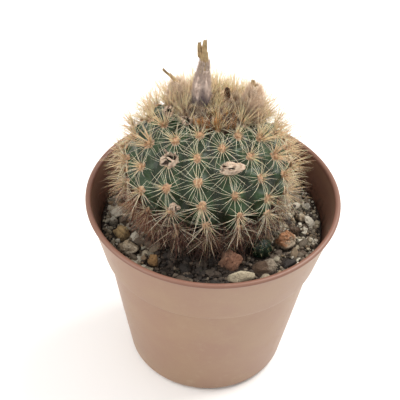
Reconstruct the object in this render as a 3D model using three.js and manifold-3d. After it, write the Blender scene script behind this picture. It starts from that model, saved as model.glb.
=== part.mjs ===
// A small globular cactus with its withered flowers, standing in a plain nursery pot.
// Millimetres, +Z up. The origin is the centre of the pot's foot ring, on the surface it stands on,
// and the viewer stands on the -Y side. Longitudes on the cactus start at -Y and grow towards +X.

import * as THREE from 'three';
import { mergeVertices } from 'three/addons/utils/BufferGeometryUtils.js';
import Module from 'manifold-3d';

const wasm = await Module();
wasm.setup();

// Pot
const POT_HEIGHT = 45;
const RIM_RADIUS = 27.5;
const LIP_HEIGHT = 0.8;
const LIP_WIDTH = 1.2;
const COLLAR_TOP_RADIUS = 27;
const COLLAR_FOOT_RADIUS = 23.8;
const COLLAR_HEIGHT = 13.5;
const BODY_TOP_RADIUS = 22.9;
const BASE_RADIUS = 17.5;
const WALL = 0.75;
const EDGE_ROUND = 1.2;
const FOOT_HEIGHT = 1.2;
const FOOT_WIDTH = 2.4;
const POT_SIDES = 40;
const DRAIN_RADIUS = 1.9;
const DRAIN_RING = 10.5;
const DRAIN_COUNT = 6;

// Soil
const GAP = 0.3;
const SOIL_LEVEL = 37;
const GRIT_RELIEF = 0.42;
const SOIL_RINGS = 7;

// Cactus body: a flattened globe that draws in below to a narrow foot and a short taproot, leaning back
const GLOBE_CENTRE = new THREE.Vector3(-1.7, 2.8, 50.9);
const GLOBE_RADIUS = 16.7;
const GLOBE_TOP = 14;
const GLOBE_LOW = 15.6;
const LOW_EXPONENT = 1.8;
const LEAN = new THREE.Vector3(0.082, 0.138, 1).normalize();
const LOWEST_LATITUDE = -60;
const ROOT_PROFILE = [[0, -32], [2.2, -28], [3.1, -22], [3.8, -18.6], [6.4, -15.6]];

// Ribs, tubercles and areoles
const RIBS = 15;
const STEPS_PER_RIB = 4;
const LATITUDE_ROWS = 23;
const RIB_PHASE = -1.45;
const RIB_TWIST = -0.261;
const RIB_RELIEF = 0.3;
const TUBERCLE_RELIEF = 0.65;
const AREOLE_START = 0.93;
const AREOLE_STEP = 4.53;
const AREOLE_STAGGER = 8 / 15;
const AREOLE_SLIP = 1.5;
const SLIPPED_RIB = 12.7;
const LOWEST_AREOLE = -46;
const HIGHEST_AREOLE = 67;
const CUSHION_RADIUS = 0.85;
const CUSHION_HEIGHT = 0.6;

// Spines
const RADIALS = 3;
const RADIAL_LENGTH = 4.3;
const CENTRAL_LENGTH = 5.4;
const LENGTH_SPREAD = 1.4;
const SPINE_RADIUS = 0.22;
const SPINE_ROOT = 0.8;
const SPINE_RING = 0.95;

// Woolly crown
const CROWN_EDGE = 64;
const CROWN_DEPTH = 2.5;
const CROWN_SIDES = 22;
const CROWN_ROWS = 5;
const BRISTLE_COUNT = 60;
const BRISTLE_RADIUS = 0.32;

const COLOURS = {
  pot: '#b08068',
  soil: '#33261f',
  stem: '#3f5a45',
  crown: '#b09274',
  flower: '#9c8782',
  husk: '#cdb7a4',
  scrap: '#4a3321',
  seedling: '#2c3d2c',
};

const { PI, sin, cos, sqrt, abs, sign } = Math;
const radians = THREE.MathUtils.degToRad;
const smoothstep = THREE.MathUtils.smoothstep;
const lerp = THREE.MathUtils.lerp;

// A repeatable draw between 0 and 1 for a set of whole-number keys
function draw(...keys) {
  let value = 0.37;
  for (const key of keys) {
    value = sin(value * 91.7 + key * 12.9898 + 4.1414) * 43758.5453;
    value -= Math.floor(value);
  }
  return value;
}

// A closed solid from a geometry, with its shared vertices merged and its collapsed faces dropped
function solid(geometry) {
  geometry.deleteAttribute('normal');
  geometry.deleteAttribute('uv');
  const merged = mergeVertices(geometry, 1e-4);
  const index = merged.index.array;
  const faces = [];
  for (let i = 0; i < index.length; i += 3) {
    const [a, b, c] = [index[i], index[i + 1], index[i + 2]];
    if (a !== b && b !== c && c !== a) faces.push(a, b, c);
  }
  const mesh = new wasm.Mesh({
    numProp: 3,
    vertProperties: new Float32Array(merged.attributes.position.array),
    triVerts: new Uint32Array(faces),
  });
  return new wasm.Manifold(mesh);
}

// The largest of the closed bodies that a cut or a join leaves
function largest(body) {
  return body.decompose().sort((one, other) => other.volume() - one.volume())[0];
}

// Joins many solids in pairs, so that no join has to carry all the others along
function joined(solids) {
  let list = solids;
  while (list.length > 1) {
    const next = [];
    for (let i = 0; i < list.length; i += 2) {
      next.push(i + 1 < list.length ? list[i].add(list[i + 1]) : list[i]);
    }
    list = next;
  }
  return list[0];
}

function meshOf(name, body, colour, roughness) {
  const data = body.getMesh();
  const geometry = new THREE.BufferGeometry();
  geometry.setAttribute('position', new THREE.BufferAttribute(new Float32Array(data.vertProperties), 3));
  geometry.setIndex(new THREE.BufferAttribute(new Uint32Array(data.triVerts), 1));
  geometry.computeVertexNormals();
  const material = new THREE.MeshStandardMaterial({ color: colour, roughness, metalness: 0 });
  const mesh = new THREE.Mesh(geometry, material);
  mesh.name = name;
  return mesh;
}

// Turns a profile of [radius, height] pairs, listed from the bottom up, about the Z axis
function turned(profile, sides) {
  const points = profile.map(([radius, height]) => new THREE.Vector2(radius, height));
  return new THREE.LatheGeometry(points, sides).rotateX(PI / 2);
}

// Moves every vertex of a turned geometry: reshape(side, row, point) edits the point in place
function displaced(geometry, rows, reshape) {
  const position = geometry.attributes.position;
  const point = new THREE.Vector3();
  for (let i = 0; i < position.count; i += 1) {
    point.fromBufferAttribute(position, i);
    reshape(Math.floor(i / rows), i % rows, point);
    position.setXYZ(i, point.x, point.y, point.z);
  }
  return geometry;
}

// Pot

const COLLAR_FOOT = POT_HEIGHT - COLLAR_HEIGHT;
const LIP_FOOT = POT_HEIGHT - LIP_HEIGHT;
const FLOOR_TOP = FOOT_HEIGHT + WALL + 0.1;

function potInnerRadius(height) {
  if (height > COLLAR_FOOT) {
    const share = (height - COLLAR_FOOT) / (LIP_FOOT - COLLAR_FOOT);
    return lerp(COLLAR_FOOT_RADIUS, COLLAR_TOP_RADIUS, share) - WALL;
  }
  return lerp(BASE_RADIUS, BODY_TOP_RADIUS, height / COLLAR_FOOT) - WALL;
}

function potProfile() {
  const footInner = BASE_RADIUS - EDGE_ROUND - FOOT_WIDTH;
  return [
    [0, FOOT_HEIGHT],
    [footInner - 0.3, FOOT_HEIGHT],
    [footInner, 0],
    [BASE_RADIUS - EDGE_ROUND, 0],
    [BASE_RADIUS - EDGE_ROUND * 0.3, EDGE_ROUND * 0.3],
    [lerp(BASE_RADIUS, BODY_TOP_RADIUS, EDGE_ROUND / COLLAR_FOOT), EDGE_ROUND],
    [BODY_TOP_RADIUS, COLLAR_FOOT - 0.5],
    [COLLAR_FOOT_RADIUS, COLLAR_FOOT],
    [COLLAR_TOP_RADIUS, LIP_FOOT],
    [RIM_RADIUS, LIP_FOOT + 0.15],
    [RIM_RADIUS, POT_HEIGHT - 0.35],
    [RIM_RADIUS - 0.35, POT_HEIGHT],
    [RIM_RADIUS - LIP_WIDTH + 0.3, POT_HEIGHT],
    [potInnerRadius(LIP_FOOT), LIP_FOOT + 0.5],
    [potInnerRadius(COLLAR_FOOT + 0.01), COLLAR_FOOT - 0.2],
    [potInnerRadius(COLLAR_FOOT - 0.7), COLLAR_FOOT - 0.7],
    [potInnerRadius(FLOOR_TOP + EDGE_ROUND), FLOOR_TOP + EDGE_ROUND],
    [potInnerRadius(FLOOR_TOP) - EDGE_ROUND, FLOOR_TOP],
    [0, FLOOR_TOP],
  ];
}

function drainHole(angle, ring) {
  const hole = new THREE.CylinderGeometry(DRAIN_RADIUS, DRAIN_RADIUS, 4 * WALL, 12).rotateX(PI / 2);
  hole.translate(ring * cos(angle), ring * sin(angle), (FOOT_HEIGHT + FLOOR_TOP) / 2);
  return solid(hole);
}

function potSolid() {
  let pot = solid(turned(potProfile(), POT_SIDES)).subtract(drainHole(0, 0));
  for (let i = 0; i < DRAIN_COUNT; i += 1) {
    pot = pot.subtract(drainHole((i + 0.5) * 2 * PI / DRAIN_COUNT, DRAIN_RING));
  }
  return pot;
}

// Cactus body

const GLOBE_FRAME = (() => {
  const east = new THREE.Vector3(1, 0, 0).addScaledVector(LEAN, -LEAN.x).normalize();
  const back = new THREE.Vector3().crossVectors(LEAN, east);
  return new THREE.Matrix4().makeBasis(east, back, LEAN).setPosition(GLOBE_CENTRE);
})();

// Radius and height of the bare globe at a latitude in degrees
function globeProfile(latitude) {
  const angle = radians(latitude);
  if (latitude >= 0) return [GLOBE_RADIUS * cos(angle), GLOBE_TOP * sin(angle)];
  const power = 2 / LOW_EXPONENT;
  return [GLOBE_RADIUS * cos(angle) ** power, -GLOBE_LOW * (-sin(angle)) ** power];
}

// Outward normal of the bare globe there, as [radial, axial]
function globeNormal(latitude) {
  const [r0, z0] = globeProfile(Math.max(latitude - 0.5, -89));
  const [r1, z1] = globeProfile(Math.min(latitude + 0.5, 90));
  const length = Math.hypot(r1 - r0, z1 - z0);
  return [(z1 - z0) / length, (r0 - r1) / length];
}

// Distance from the equator up the side of the bare globe, in chords of two degrees at most
function arcTo(latitude) {
  const chords = Math.max(1, Math.ceil(abs(latitude) / 2));
  let [r0, z0] = globeProfile(0);
  let length = 0;
  for (let i = 1; i <= chords; i += 1) {
    const [r1, z1] = globeProfile(latitude * i / chords);
    length += Math.hypot(r1 - r0, z1 - z0);
    [r0, z0] = [r1, z1];
  }
  return sign(latitude) * length;
}

// The latitude at that distance, by halving
function latitudeAt(arc) {
  let [low, high] = [-80, 90];
  for (let i = 0; i < 20; i += 1) {
    const middle = (low + high) / 2;
    if (arcTo(middle) < arc) low = middle;
    else high = middle;
  }
  return (low + high) / 2;
}

// How far up its rib the areole nearest the equator lies; the ribs on one side have slipped down a little
function firstAreole(rib) {
  const slip = AREOLE_SLIP * Math.max(0, cos(2 * PI * (rib - SLIPPED_RIB) / RIBS)) ** 8;
  return AREOLE_START + ((rib * AREOLE_STAGGER) % 1) * AREOLE_STEP - slip;
}

// The ribs die away into the soil and under the crown's wool
function reliefFade(latitude) {
  const low = smoothstep(latitude, -58, -34);
  const high = (1 - 0.75 * smoothstep(latitude, 56, 76)) * (1 - smoothstep(latitude, 82, 90));
  return low * high;
}

// Height of ribs and tubercles, with the rib given as a count of ribs round from the first
function relief(rib, latitude) {
  const nearest = Math.round(rib);
  const crest = cos(2 * PI * (rib - nearest));
  const row = (arcTo(latitude) - firstAreole(nearest % RIBS)) / AREOLE_STEP;
  const knob = cos(2 * PI * row) * (0.5 + 0.5 * crest);
  return reliefFade(latitude) * (RIB_RELIEF * crest + TUBERCLE_RELIEF * knob);
}

// A point on the cactus and its outward normal, in the pot's frame
function onCactus(longitude, latitude, height) {
  const [radius, axial] = globeProfile(latitude);
  const [outward, upward] = globeNormal(latitude);
  const angle = radians(longitude);
  const point = new THREE.Vector3(
    (radius + height * outward) * sin(angle),
    -(radius + height * outward) * cos(angle),
    axial + height * upward,
  );
  const normal = new THREE.Vector3(outward * sin(angle), -outward * cos(angle), upward);
  return { point: point.applyMatrix4(GLOBE_FRAME), normal: normal.transformDirection(GLOBE_FRAME) };
}

// The ribbed body with its taproot, grown outward by a margin
function bodySolid(margin) {
  const profile = ROOT_PROFILE.map(([radius, height]) => ({ radius, height, latitude: -90 }));
  for (let i = 0; i < LATITUDE_ROWS; i += 1) {
    const latitude = lerp(LOWEST_LATITUDE, 90, i / (LATITUDE_ROWS - 1));
    const [radius, height] = globeProfile(latitude);
    profile.push({ radius, height, latitude });
  }
  profile[profile.length - 1].radius = 0;
  const lathe = turned(profile.map(({ radius, height }) => [radius, height]), RIBS * STEPS_PER_RIB);
  displaced(lathe, profile.length, (side, row, point) => {
    const { radius, height, latitude } = profile[row];
    if (row === 0 || row === profile.length - 1) {
      point.set(0, 0, height + (row === 0 ? -margin : margin));
      return;
    }
    const rib = (side % (RIBS * STEPS_PER_RIB)) / STEPS_PER_RIB;
    const spin = radians(RIB_PHASE + rib * 360 / RIBS + RIB_TWIST * Math.max(latitude, LOWEST_LATITUDE));
    const inRoot = latitude < LOWEST_LATITUDE;
    const [outward, upward] = inRoot ? [1, 0] : globeNormal(latitude);
    const lift = margin + (inRoot ? 0 : relief(rib, latitude));
    const reach = radius + lift * outward;
    point.set(reach * sin(spin), -reach * cos(spin), height + lift * upward);
  });
  return solid(lathe.applyMatrix4(GLOBE_FRAME));
}

// A smooth hull over the body's crests, which shapes the soil's socket and the wool's underside
function hullSolid(margin, lowest, sides) {
  const rows = [[0, lowest]];
  for (const [radius, height] of ROOT_PROFILE.slice(1)) {
    if (height > lowest) rows.push([radius + margin, height]);
  }
  for (let latitude = LOWEST_LATITUDE; latitude < 90; latitude += 7.5) {
    const [radius, height] = globeProfile(latitude);
    const [outward, upward] = globeNormal(latitude);
    const lift = margin + reliefFade(latitude) * (RIB_RELIEF + TUBERCLE_RELIEF);
    if (height > lowest) rows.push([radius + lift * outward, height + lift * upward]);
  }
  rows.push([0, GLOBE_TOP + margin + 0.1]);
  const spread = 1 / cos(PI / sides);
  return solid(turned(rows, sides).scale(spread, spread, 1).applyMatrix4(GLOBE_FRAME));
}

// Turns a shape that stands on the XY plane to stand along a direction at a root point
function stood(geometry, root, direction) {
  const turn = new THREE.Quaternion().setFromUnitVectors(new THREE.Vector3(0, 0, 1), direction);
  return solid(geometry.applyQuaternion(turn).translate(root.x, root.y, root.z));
}

// A needle from a root point along a direction, sunk below the root, and grown all round by a margin
function needle(root, direction, { length, radius, sunk = 0, sides = 3, margin = 0 }) {
  const reach = length + sunk + 2 * margin;
  const cone = new THREE.ConeGeometry(radius + margin / cos(PI / sides), reach, sides);
  return stood(cone.rotateX(PI / 2).translate(0, 0, reach / 2 - sunk), root, direction);
}

function areoles() {
  const list = [];
  for (let rib = 0; rib < RIBS; rib += 1) {
    for (let row = -5; row < 6; row += 1) {
      const latitude = latitudeAt(firstAreole(rib) + row * AREOLE_STEP);
      if (latitude < LOWEST_AREOLE || latitude > HIGHEST_AREOLE) continue;
      const longitude = RIB_PHASE + rib * 360 / RIBS + RIB_TWIST * latitude;
      const seat = onCactus(longitude, latitude, relief(rib, latitude));
      list.push({ key: rib * 20 + row + 6, latitude, ...seat });
    }
  }
  return list;
}

// The areole's low woolly cushion, drawn out at its middle into the central spine
function cushion({ key, point, normal }, margin) {
  const radius = CUSHION_RADIUS + margin;
  const tip = CENTRAL_LENGTH + LENGTH_SPREAD * (draw(key, 3) - 0.5) + 2 * margin;
  const shoulder = [SPINE_RADIUS + 0.05 + margin, CUSHION_HEIGHT + margin];
  const tilt = new THREE.Vector3(draw(key, 4) - 0.5, draw(key, 5) - 0.5, draw(key, 6) - 0.5);
  const direction = tilt.multiplyScalar(0.4).add(normal).normalize();
  return stood(turned([[0, -0.4], [radius, -0.35], shoulder, [0, tip]], 4), point, direction);
}

// Root, direction and length of one radial spine, leaning away from its areole
function radial({ key, latitude, point, normal }, index) {
  const down = LEAN.clone().negate();
  down.addScaledVector(normal, -down.dot(normal)).normalize();
  const side = new THREE.Vector3().crossVectors(normal, down);
  const round = 2 * PI * ((index + 0.6 * draw(key, index, 1)) / RADIALS + draw(key, 9));
  const away = down.multiplyScalar(cos(round)).addScaledVector(side, sin(round));
  const lift = radians(24 + 22 * draw(key, index, 2));
  const direction = normal.clone().multiplyScalar(sin(lift)).addScaledVector(away, cos(lift));
  if (latitude < -5) direction.addScaledVector(LEAN, -0.2);
  const root = point.clone().addScaledVector(away, SPINE_RING).addScaledVector(normal, -0.4);
  const length = RADIAL_LENGTH + 0.4 + LENGTH_SPREAD * (draw(key, index, 3) - 0.5);
  return { root, direction: direction.normalize(), length };
}

// The body with the cushions and spines that stand clear of what lies round it
function stemSolid(surroundings) {
  const clear = (piece) => piece.intersect(surroundings).isEmpty();
  const pieces = [];
  for (const areole of areoles()) {
    if (!clear(cushion(areole, GAP))) continue;
    pieces.push(cushion(areole, 0));
    for (let index = 0; index < RADIALS; index += 1) {
      const { root, direction, length } = radial(areole, index);
      for (const share of [1, 0.75, 0.5]) {
        const spine = { length: length * share, radius: SPINE_RADIUS };
        if (!clear(needle(root, direction, { ...spine, margin: GAP }))) continue;
        pieces.push(needle(root, direction, { ...spine, sunk: SPINE_ROOT }));
        break;
      }
    }
  }
  return largest(bodySolid(0).add(joined(pieces)));
}

// Withered flowers: a woolly tube drawn in to a neck, with the dried petals twisted together above it

// Rows are [height, radius, sideways shift], from the seat up; the last row closes at a point
const FLOWERS = [
  {
    name: 'dried_flower_centre',
    seat: [-62, 78.5],
    axis: new THREE.Vector3(0.01, 0.02, 1),
    rows: [
      [-2.5, 1.1, 0], [0, 1.3, 0], [2.4, 1.6, 0], [4.2, 1.9, 0], [7, 1.8, 0], [9.2, 1.45, 0.1], [11.6, 1.25, 0.3],
      [13, 0.8, 0.25], [15.2, 0.72, -0.05], [16.6, 0, -0.1],
    ],
    tips: [[14.6, 0.15, 2.5], [14.3, -0.7, 2.2]],
    wool: 16,
  },
  {
    name: 'dried_flower_right',
    seat: [82, 66],
    axis: new THREE.Vector3(0.2, 0.02, 0.98),
    rows: [
      [-2, 1.5, 0], [0.5, 2.0, 0], [3, 2.2, 0], [5.2, 1.9, 0], [7, 1.2, -0.4], [8.4, 0.7, -0.8], [9.8, 0, -0.9],
    ],
    tips: [[6.8, -0.9, 2.4]],
    wool: 12,
  },
  {
    name: 'dried_flower_left',
    seat: [-100, 64],
    axis: new THREE.Vector3(0.02, 0, 1),
    rows: [
      [-2, 1.5, 0], [0.5, 2.0, -0.2], [3, 2.1, -0.5], [4.8, 1.7, -0.4], [5.5, 0.8, -0.3], [6.4, 0.5, -1],
      [7.8, 0.35, -2.4], [9.3, 0, -3.9],
    ],
    tips: [],
    wool: 12,
  },
];

function flowerFrame({ seat, axis }) {
  const { point } = onCactus(seat[0], seat[1], 0);
  const up = axis.clone().normalize();
  const east = new THREE.Vector3(1, 0, 0).addScaledVector(up, -up.x).normalize();
  const back = new THREE.Vector3().crossVectors(up, east);
  return new THREE.Matrix4().makeBasis(east, back, up).setPosition(point);
}

function flowerSolid(flower, order, margin) {
  const { rows, tips, wool } = flower;
  const last = rows.length - 1;
  const profile = [[0, rows[0][0] - margin], ...rows.map(([height, radius]) => [radius, height])];
  const lathe = turned(profile, 9);
  displaced(lathe, profile.length, (side, row, point) => {
    if (row === 0) return;
    const [height, radius, shift] = rows[row - 1];
    const lumps = radius * 0.3 * (draw(order, row, side % 9) - 0.5);
    const reach = radius > 0 ? radius + lumps + margin : 0;
    const turn = side * 2 * PI / 9;
    const rise = row - 1 === last ? height + margin : height;
    point.set(reach * sin(turn) + shift, -reach * cos(turn), rise);
  });
  const pieces = [solid(lathe)];
  for (const [height, shift, length] of tips) {
    const lean = new THREE.Vector3(shift * 0.16, 0.05, 1).normalize();
    const foot = new THREE.Vector3(shift, 0, height);
    pieces.push(needle(foot, lean, { length, radius: 0.5, sunk: 2.2, sides: 5, margin }));
  }
  for (let i = 0; i < wool; i += 1) {
    const share = (i + 0.5) / wool;
    const row = Math.min(Math.floor(share * 4) + 1, last - 2);
    const [height, radius, shift] = rows[row];
    const turn = i * 2.39996;
    const root = new THREE.Vector3(radius * 0.6 * sin(turn) + shift, -radius * 0.6 * cos(turn), height);
    const lean = new THREE.Vector3(0.5 * sin(turn), -0.5 * cos(turn), 1).normalize();
    pieces.push(needle(root, lean, { length: 2.6, radius: 0.3, sunk: 0.2, margin }));
  }
  const frame = flowerFrame(flower).elements;
  return joined(pieces).transform(frame);
}

// Woolly crown: a lumpy pad over the growing point with bristles standing out of it

function crownSolid(bodyHull, lodgers) {
  const rows = [[0, GLOBE_TOP - 7]];
  const [edgeRadius, edgeHeight] = globeProfile(CROWN_EDGE);
  rows.push([edgeRadius - 1.5, edgeHeight - 1.2]);
  for (let i = 0; i <= CROWN_ROWS; i += 1) {
    const latitude = lerp(CROWN_EDGE, 90, i / CROWN_ROWS);
    const depth = lerp(1.2, CROWN_DEPTH, sqrt(i / CROWN_ROWS));
    const [radius, height] = globeProfile(latitude);
    const [outward, upward] = globeNormal(latitude);
    rows.push([i === CROWN_ROWS ? 0 : radius + depth * outward, height + depth * upward]);
  }
  const lathe = displaced(turned(rows, CROWN_SIDES), rows.length, (side, row, point) => {
    if (row < 2 || row === rows.length - 1) return;
    const lump = 0.9 * (draw(row, side % CROWN_SIDES, 5) - 0.4);
    point.multiplyScalar(1 + lump / point.length());
  });
  const pieces = [solid(lathe.applyMatrix4(GLOBE_FRAME))];
  const blocked = joined([bodyHull, ...lodgers]);
  for (let i = 0; i < BRISTLE_COUNT; i += 1) {
    const share = sqrt((i + 0.5) / BRISTLE_COUNT);
    const latitude = lerp(88, CROWN_EDGE + 1, share);
    const { point, normal } = onCactus(i * 137.508 + 20 * draw(i, 1), latitude, 1);
    const direction = normal.clone().multiplyScalar(0.75).addScaledVector(LEAN, 0.4);
    direction.x += 0.5 * (draw(i, 2) - 0.5);
    direction.y += 0.5 * (draw(i, 3) - 0.5);
    direction.z += 0.3 * (draw(i, 4) - 0.5);
    const length = lerp(3.6, 4.8, share) + 1.4 * (draw(i, 5) - 0.5);
    const bristle = { length, radius: BRISTLE_RADIUS };
    direction.normalize();
    if (needle(point, direction, { ...bristle, margin: GAP }).intersect(blocked).isEmpty()) {
      pieces.push(needle(point, direction, bristle));
    }
  }
  return largest(joined(pieces).subtract(blocked));
}

// Empty seed husks, papery and torn open, caught among the spines

const HUSKS = [
  { name: 'fruit_husk_1', seat: [16.5, 34.7], size: [5.8, 3, 2.6], turn: 8, lift: 0.7 },
  { name: 'fruit_husk_2', seat: [-31.8, 31.4], size: [4.4, 3.6, 2.4], turn: -20, lift: 0.6 },
  { name: 'fruit_husk_3', seat: [-19.9, -0.9], size: [3.1, 2.2, 1.9], turn: 20, lift: 0.7 },
  { name: 'fruit_husk_4', seat: [-41, 62], size: [2.6, 2.6, 2.2], turn: 30, lift: 0.7 },
  { name: 'fruit_husk_5', seat: [-71, 57.5], size: [2.8, 2.5, 2.4], turn: 0, lift: 1.3 },
];

function husk({ seat, size, turn, lift }, order, margin) {
  const shape = new THREE.IcosahedronGeometry(1, 1);
  const position = shape.attributes.position;
  const point = new THREE.Vector3();
  for (let i = 0; i < position.count; i += 1) {
    point.fromBufferAttribute(position, i);
    const spot = Math.round(point.x * 50) * 7 + Math.round(point.y * 50) * 3 + Math.round(point.z * 50);
    const ragged = 1 + 0.24 * (draw(order, spot) - 0.5);
    const dish = point.z > 0 ? 0.8 * (1 - smoothstep(Math.hypot(point.x, point.y), 0.2, 0.75)) : 0;
    position.setXYZ(i, point.x * ragged, point.y * ragged, point.z * ragged - dish);
  }
  const [width, depth, height] = size.map((value) => value / 2 + margin);
  shape.scale(width, depth, height).rotateZ(radians(turn));
  const { point: centre, normal } = onCactus(seat[0], seat[1], RIB_RELIEF + TUBERCLE_RELIEF + lift);
  const east = new THREE.Vector3().crossVectors(LEAN, normal).normalize();
  const north = new THREE.Vector3().crossVectors(normal, east);
  shape.applyMatrix4(new THREE.Matrix4().makeBasis(east, north, normal).setPosition(centre));
  return solid(shape);
}

// A curled scrap of withered petal lying in the crown's wool
function petalScrap(margin) {
  const scrap = new THREE.BoxGeometry(1.3 + 2 * margin, 0.6 + 2 * margin, 2.7 + 2 * margin, 2, 1, 4);
  const position = scrap.attributes.position;
  for (let i = 0; i < position.count; i += 1) {
    const height = position.getZ(i);
    const bend = 0.25 * height * height - 0.25 * position.getX(i) ** 2;
    const taper = 1 - 0.22 * abs(height);
    position.setXYZ(i, position.getX(i) * taper, position.getY(i) + bend, height);
  }
  scrap.rotateX(radians(-12)).rotateZ(radians(20));
  const { point } = onCactus(105, 83.5, CROWN_DEPTH + 0.6);
  return solid(scrap.translate(point.x, point.y, point.z));
}

// Pebbles on the soil: place, size, how far the top stands out, turn and colour

const PEBBLES = [
  { at: [15.9, -6.6], size: [5.4, 4.6, 6.4], above: 4.6, turn: 10, colour: '#8f6a4e' },
  { at: [11.2, -14.3], size: [5.8, 4.4, 4.2], above: 2.2, turn: 25, colour: '#6b594a' },
  { at: [6.3, -17.4], size: [7.0, 3.8, 4.0], above: 2.4, turn: 8, colour: '#a5957f' },
  { at: [4.1, -13.2], size: [6.0, 3.8, 6.0], above: 4.0, turn: 5, colour: '#5f4436' },
  { at: [-11.9, -13.6], size: [3.0, 3.0, 3.6], above: 2.2, turn: 40, colour: '#a9823f' },
  { at: [-19.3, -5.4], size: [4.6, 3.8, 4.6], above: 2.7, turn: -30, colour: '#9b8468' },
  { at: [-17.7, -9.9], size: [5.6, 4.0, 4.8], above: 2.8, turn: -35, colour: '#77716a' },
  { at: [19.6, 1.8], size: [3.0, 2.6, 3.0], above: 1.6, turn: 15, colour: '#6d625a' },
  { at: [18.2, -2.4], size: [3.0, 2.6, 3.0], above: 1.5, turn: 60, colour: '#5d5148' },
  { at: [16.6, -12.2], size: [3.8, 2.6, 2.8], above: 1.2, turn: 35, colour: '#37322f' },
  { at: [-21.3, -2.0], size: [2.6, 2.3, 2.8], above: 1.5, turn: 75, colour: '#b9ac97' },
  { at: [20.8, 5.0], size: [2.4, 2.1, 2.6], above: 1.3, turn: 80, colour: '#b5a58f' },
  { at: [-16.0, 12.1], size: [4.2, 3.4, 4.0], above: 2.1, turn: 50, colour: '#857565' },
  { at: [-3.5, 19.2], size: [5.0, 3.6, 4.2], above: 2.2, turn: 5, colour: '#6f6257' },
  { at: [12.6, 15.8], size: [3.8, 3.2, 3.6], above: 1.9, turn: -50, colour: '#9b8468' },
];

function pebble({ at, size, above, turn }, order) {
  const shape = new THREE.IcosahedronGeometry(1, 1);
  const position = shape.attributes.position;
  for (let i = 0; i < position.count; i += 1) {
    const [x, y, z] = [position.getX(i), position.getY(i), position.getZ(i)];
    const worn = 1 - 0.09 * (1 + sin(3.1 * x + 2.3 * y + 1.7 * z + order * 2.1));
    const square = [x, y, z].map((value) => sign(value) * abs(value) ** 0.82 * worn);
    position.setXYZ(i, square[0] * size[0] / 2, square[1] * size[1] / 2, square[2] * size[2] / 2);
  }
  shape.rotateZ(radians(turn)).translate(at[0], at[1], SOIL_LEVEL + above - size[2] / 2);
  return solid(shape);
}

// A plain oval hole in the soil, a little wider and deeper than the thing that is bedded in it
function bed({ at, size, above, turn }) {
  const sides = 10;
  const spread = 1 / cos(PI / sides);
  const depth = size[2] - above + GAP;
  const hole = new THREE.CylinderGeometry(1, 1, 2 * depth, sides).rotateX(PI / 2);
  hole.scale((size[0] / 2 + GAP) * spread, (size[1] / 2 + GAP) * spread, 1);
  return solid(hole.rotateZ(radians(turn)).translate(at[0], at[1], SOIL_LEVEL));
}

// A seedling of the same cactus beside its parent

const SEEDLING = { at: [10.6, -9.1], size: [4.9, 4.9, 4.9], above: 3.7, turn: 0 };
const SEEDLING_RIBS = 8;

function seedling({ at, size, above }) {
  const rows = 8;
  const radius = size[0] / 2;
  const profile = [];
  for (let i = 0; i <= rows; i += 1) {
    const angle = lerp(-PI / 2, PI / 2, i / rows);
    profile.push([i === 0 || i === rows ? 0 : radius * cos(angle), radius * sin(angle)]);
  }
  const globe = displaced(turned(profile, SEEDLING_RIBS * 2), profile.length, (side, row, point) => {
    const groove = side % 2 === 1 ? 0.84 : 1;
    point.x *= groove;
    point.y *= groove;
  });
  return solid(globe.translate(at[0], at[1], SOIL_LEVEL + above - radius));
}

// Soil: it fills the pot to a little below the lip, gritty on top, with sockets for what stands in it

function soilSolid(sockets) {
  const clear = (height) => potInnerRadius(height) - GAP;
  const rows = [
    [0, FLOOR_TOP + GAP],
    [clear(FLOOR_TOP) - EDGE_ROUND, FLOOR_TOP + GAP],
    [clear(FLOOR_TOP + EDGE_ROUND + GAP), FLOOR_TOP + EDGE_ROUND + GAP],
    [clear(COLLAR_FOOT - 0.7), COLLAR_FOOT - 0.7 + GAP],
    [clear(SOIL_LEVEL - GRIT_RELIEF), SOIL_LEVEL - GRIT_RELIEF],
  ];
  const rim = rows.length;
  for (let i = 0; i < SOIL_RINGS; i += 1) {
    const share = (i + 0.6) / SOIL_RINGS;
    rows.push([clear(SOIL_LEVEL) * (1 - share * 0.75), SOIL_LEVEL]);
  }
  rows.push([0, SOIL_LEVEL]);
  const lathe = displaced(turned(rows, POT_SIDES), rows.length, (side, row, point) => {
    if (row < rim || row === rows.length - 1) return;
    point.z += GRIT_RELIEF * (2 * draw(row, side % POT_SIDES, 7) - 1);
  });
  return sockets.reduce((soil, socket) => soil.subtract(socket), solid(lathe));
}

// Assembly

const bodyGrown = bodySolid(GAP);
const bodyHull = hullSolid(GAP, 8, 20);
const pot = potSolid();
const soil = soilSolid([hullSolid(GAP, -34, 20), ...[SEEDLING, ...PEBBLES].map(bed)]);
const pebbles = PEBBLES.map(pebble);
const sprout = seedling(SEEDLING);
const husks = HUSKS.map((shell, i) => husk(shell, i, 0).subtract(bodyGrown));
const scrap = petalScrap(0);
const flowers = FLOWERS.map((flower, i) => flowerSolid(flower, i, 0).subtract(bodyHull));
const flowersGrown = FLOWERS.map((flower, i) => flowerSolid(flower, i, GAP));
const husksGrown = HUSKS.map((shell, i) => husk(shell, i, GAP));
const crown = crownSolid(bodyHull, [...flowersGrown, ...husksGrown, petalScrap(GAP)]);
const surroundings = joined([pot, soil, ...pebbles, sprout, ...flowers, crown, ...husks, scrap]);
const stem = stemSolid(surroundings);

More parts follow.
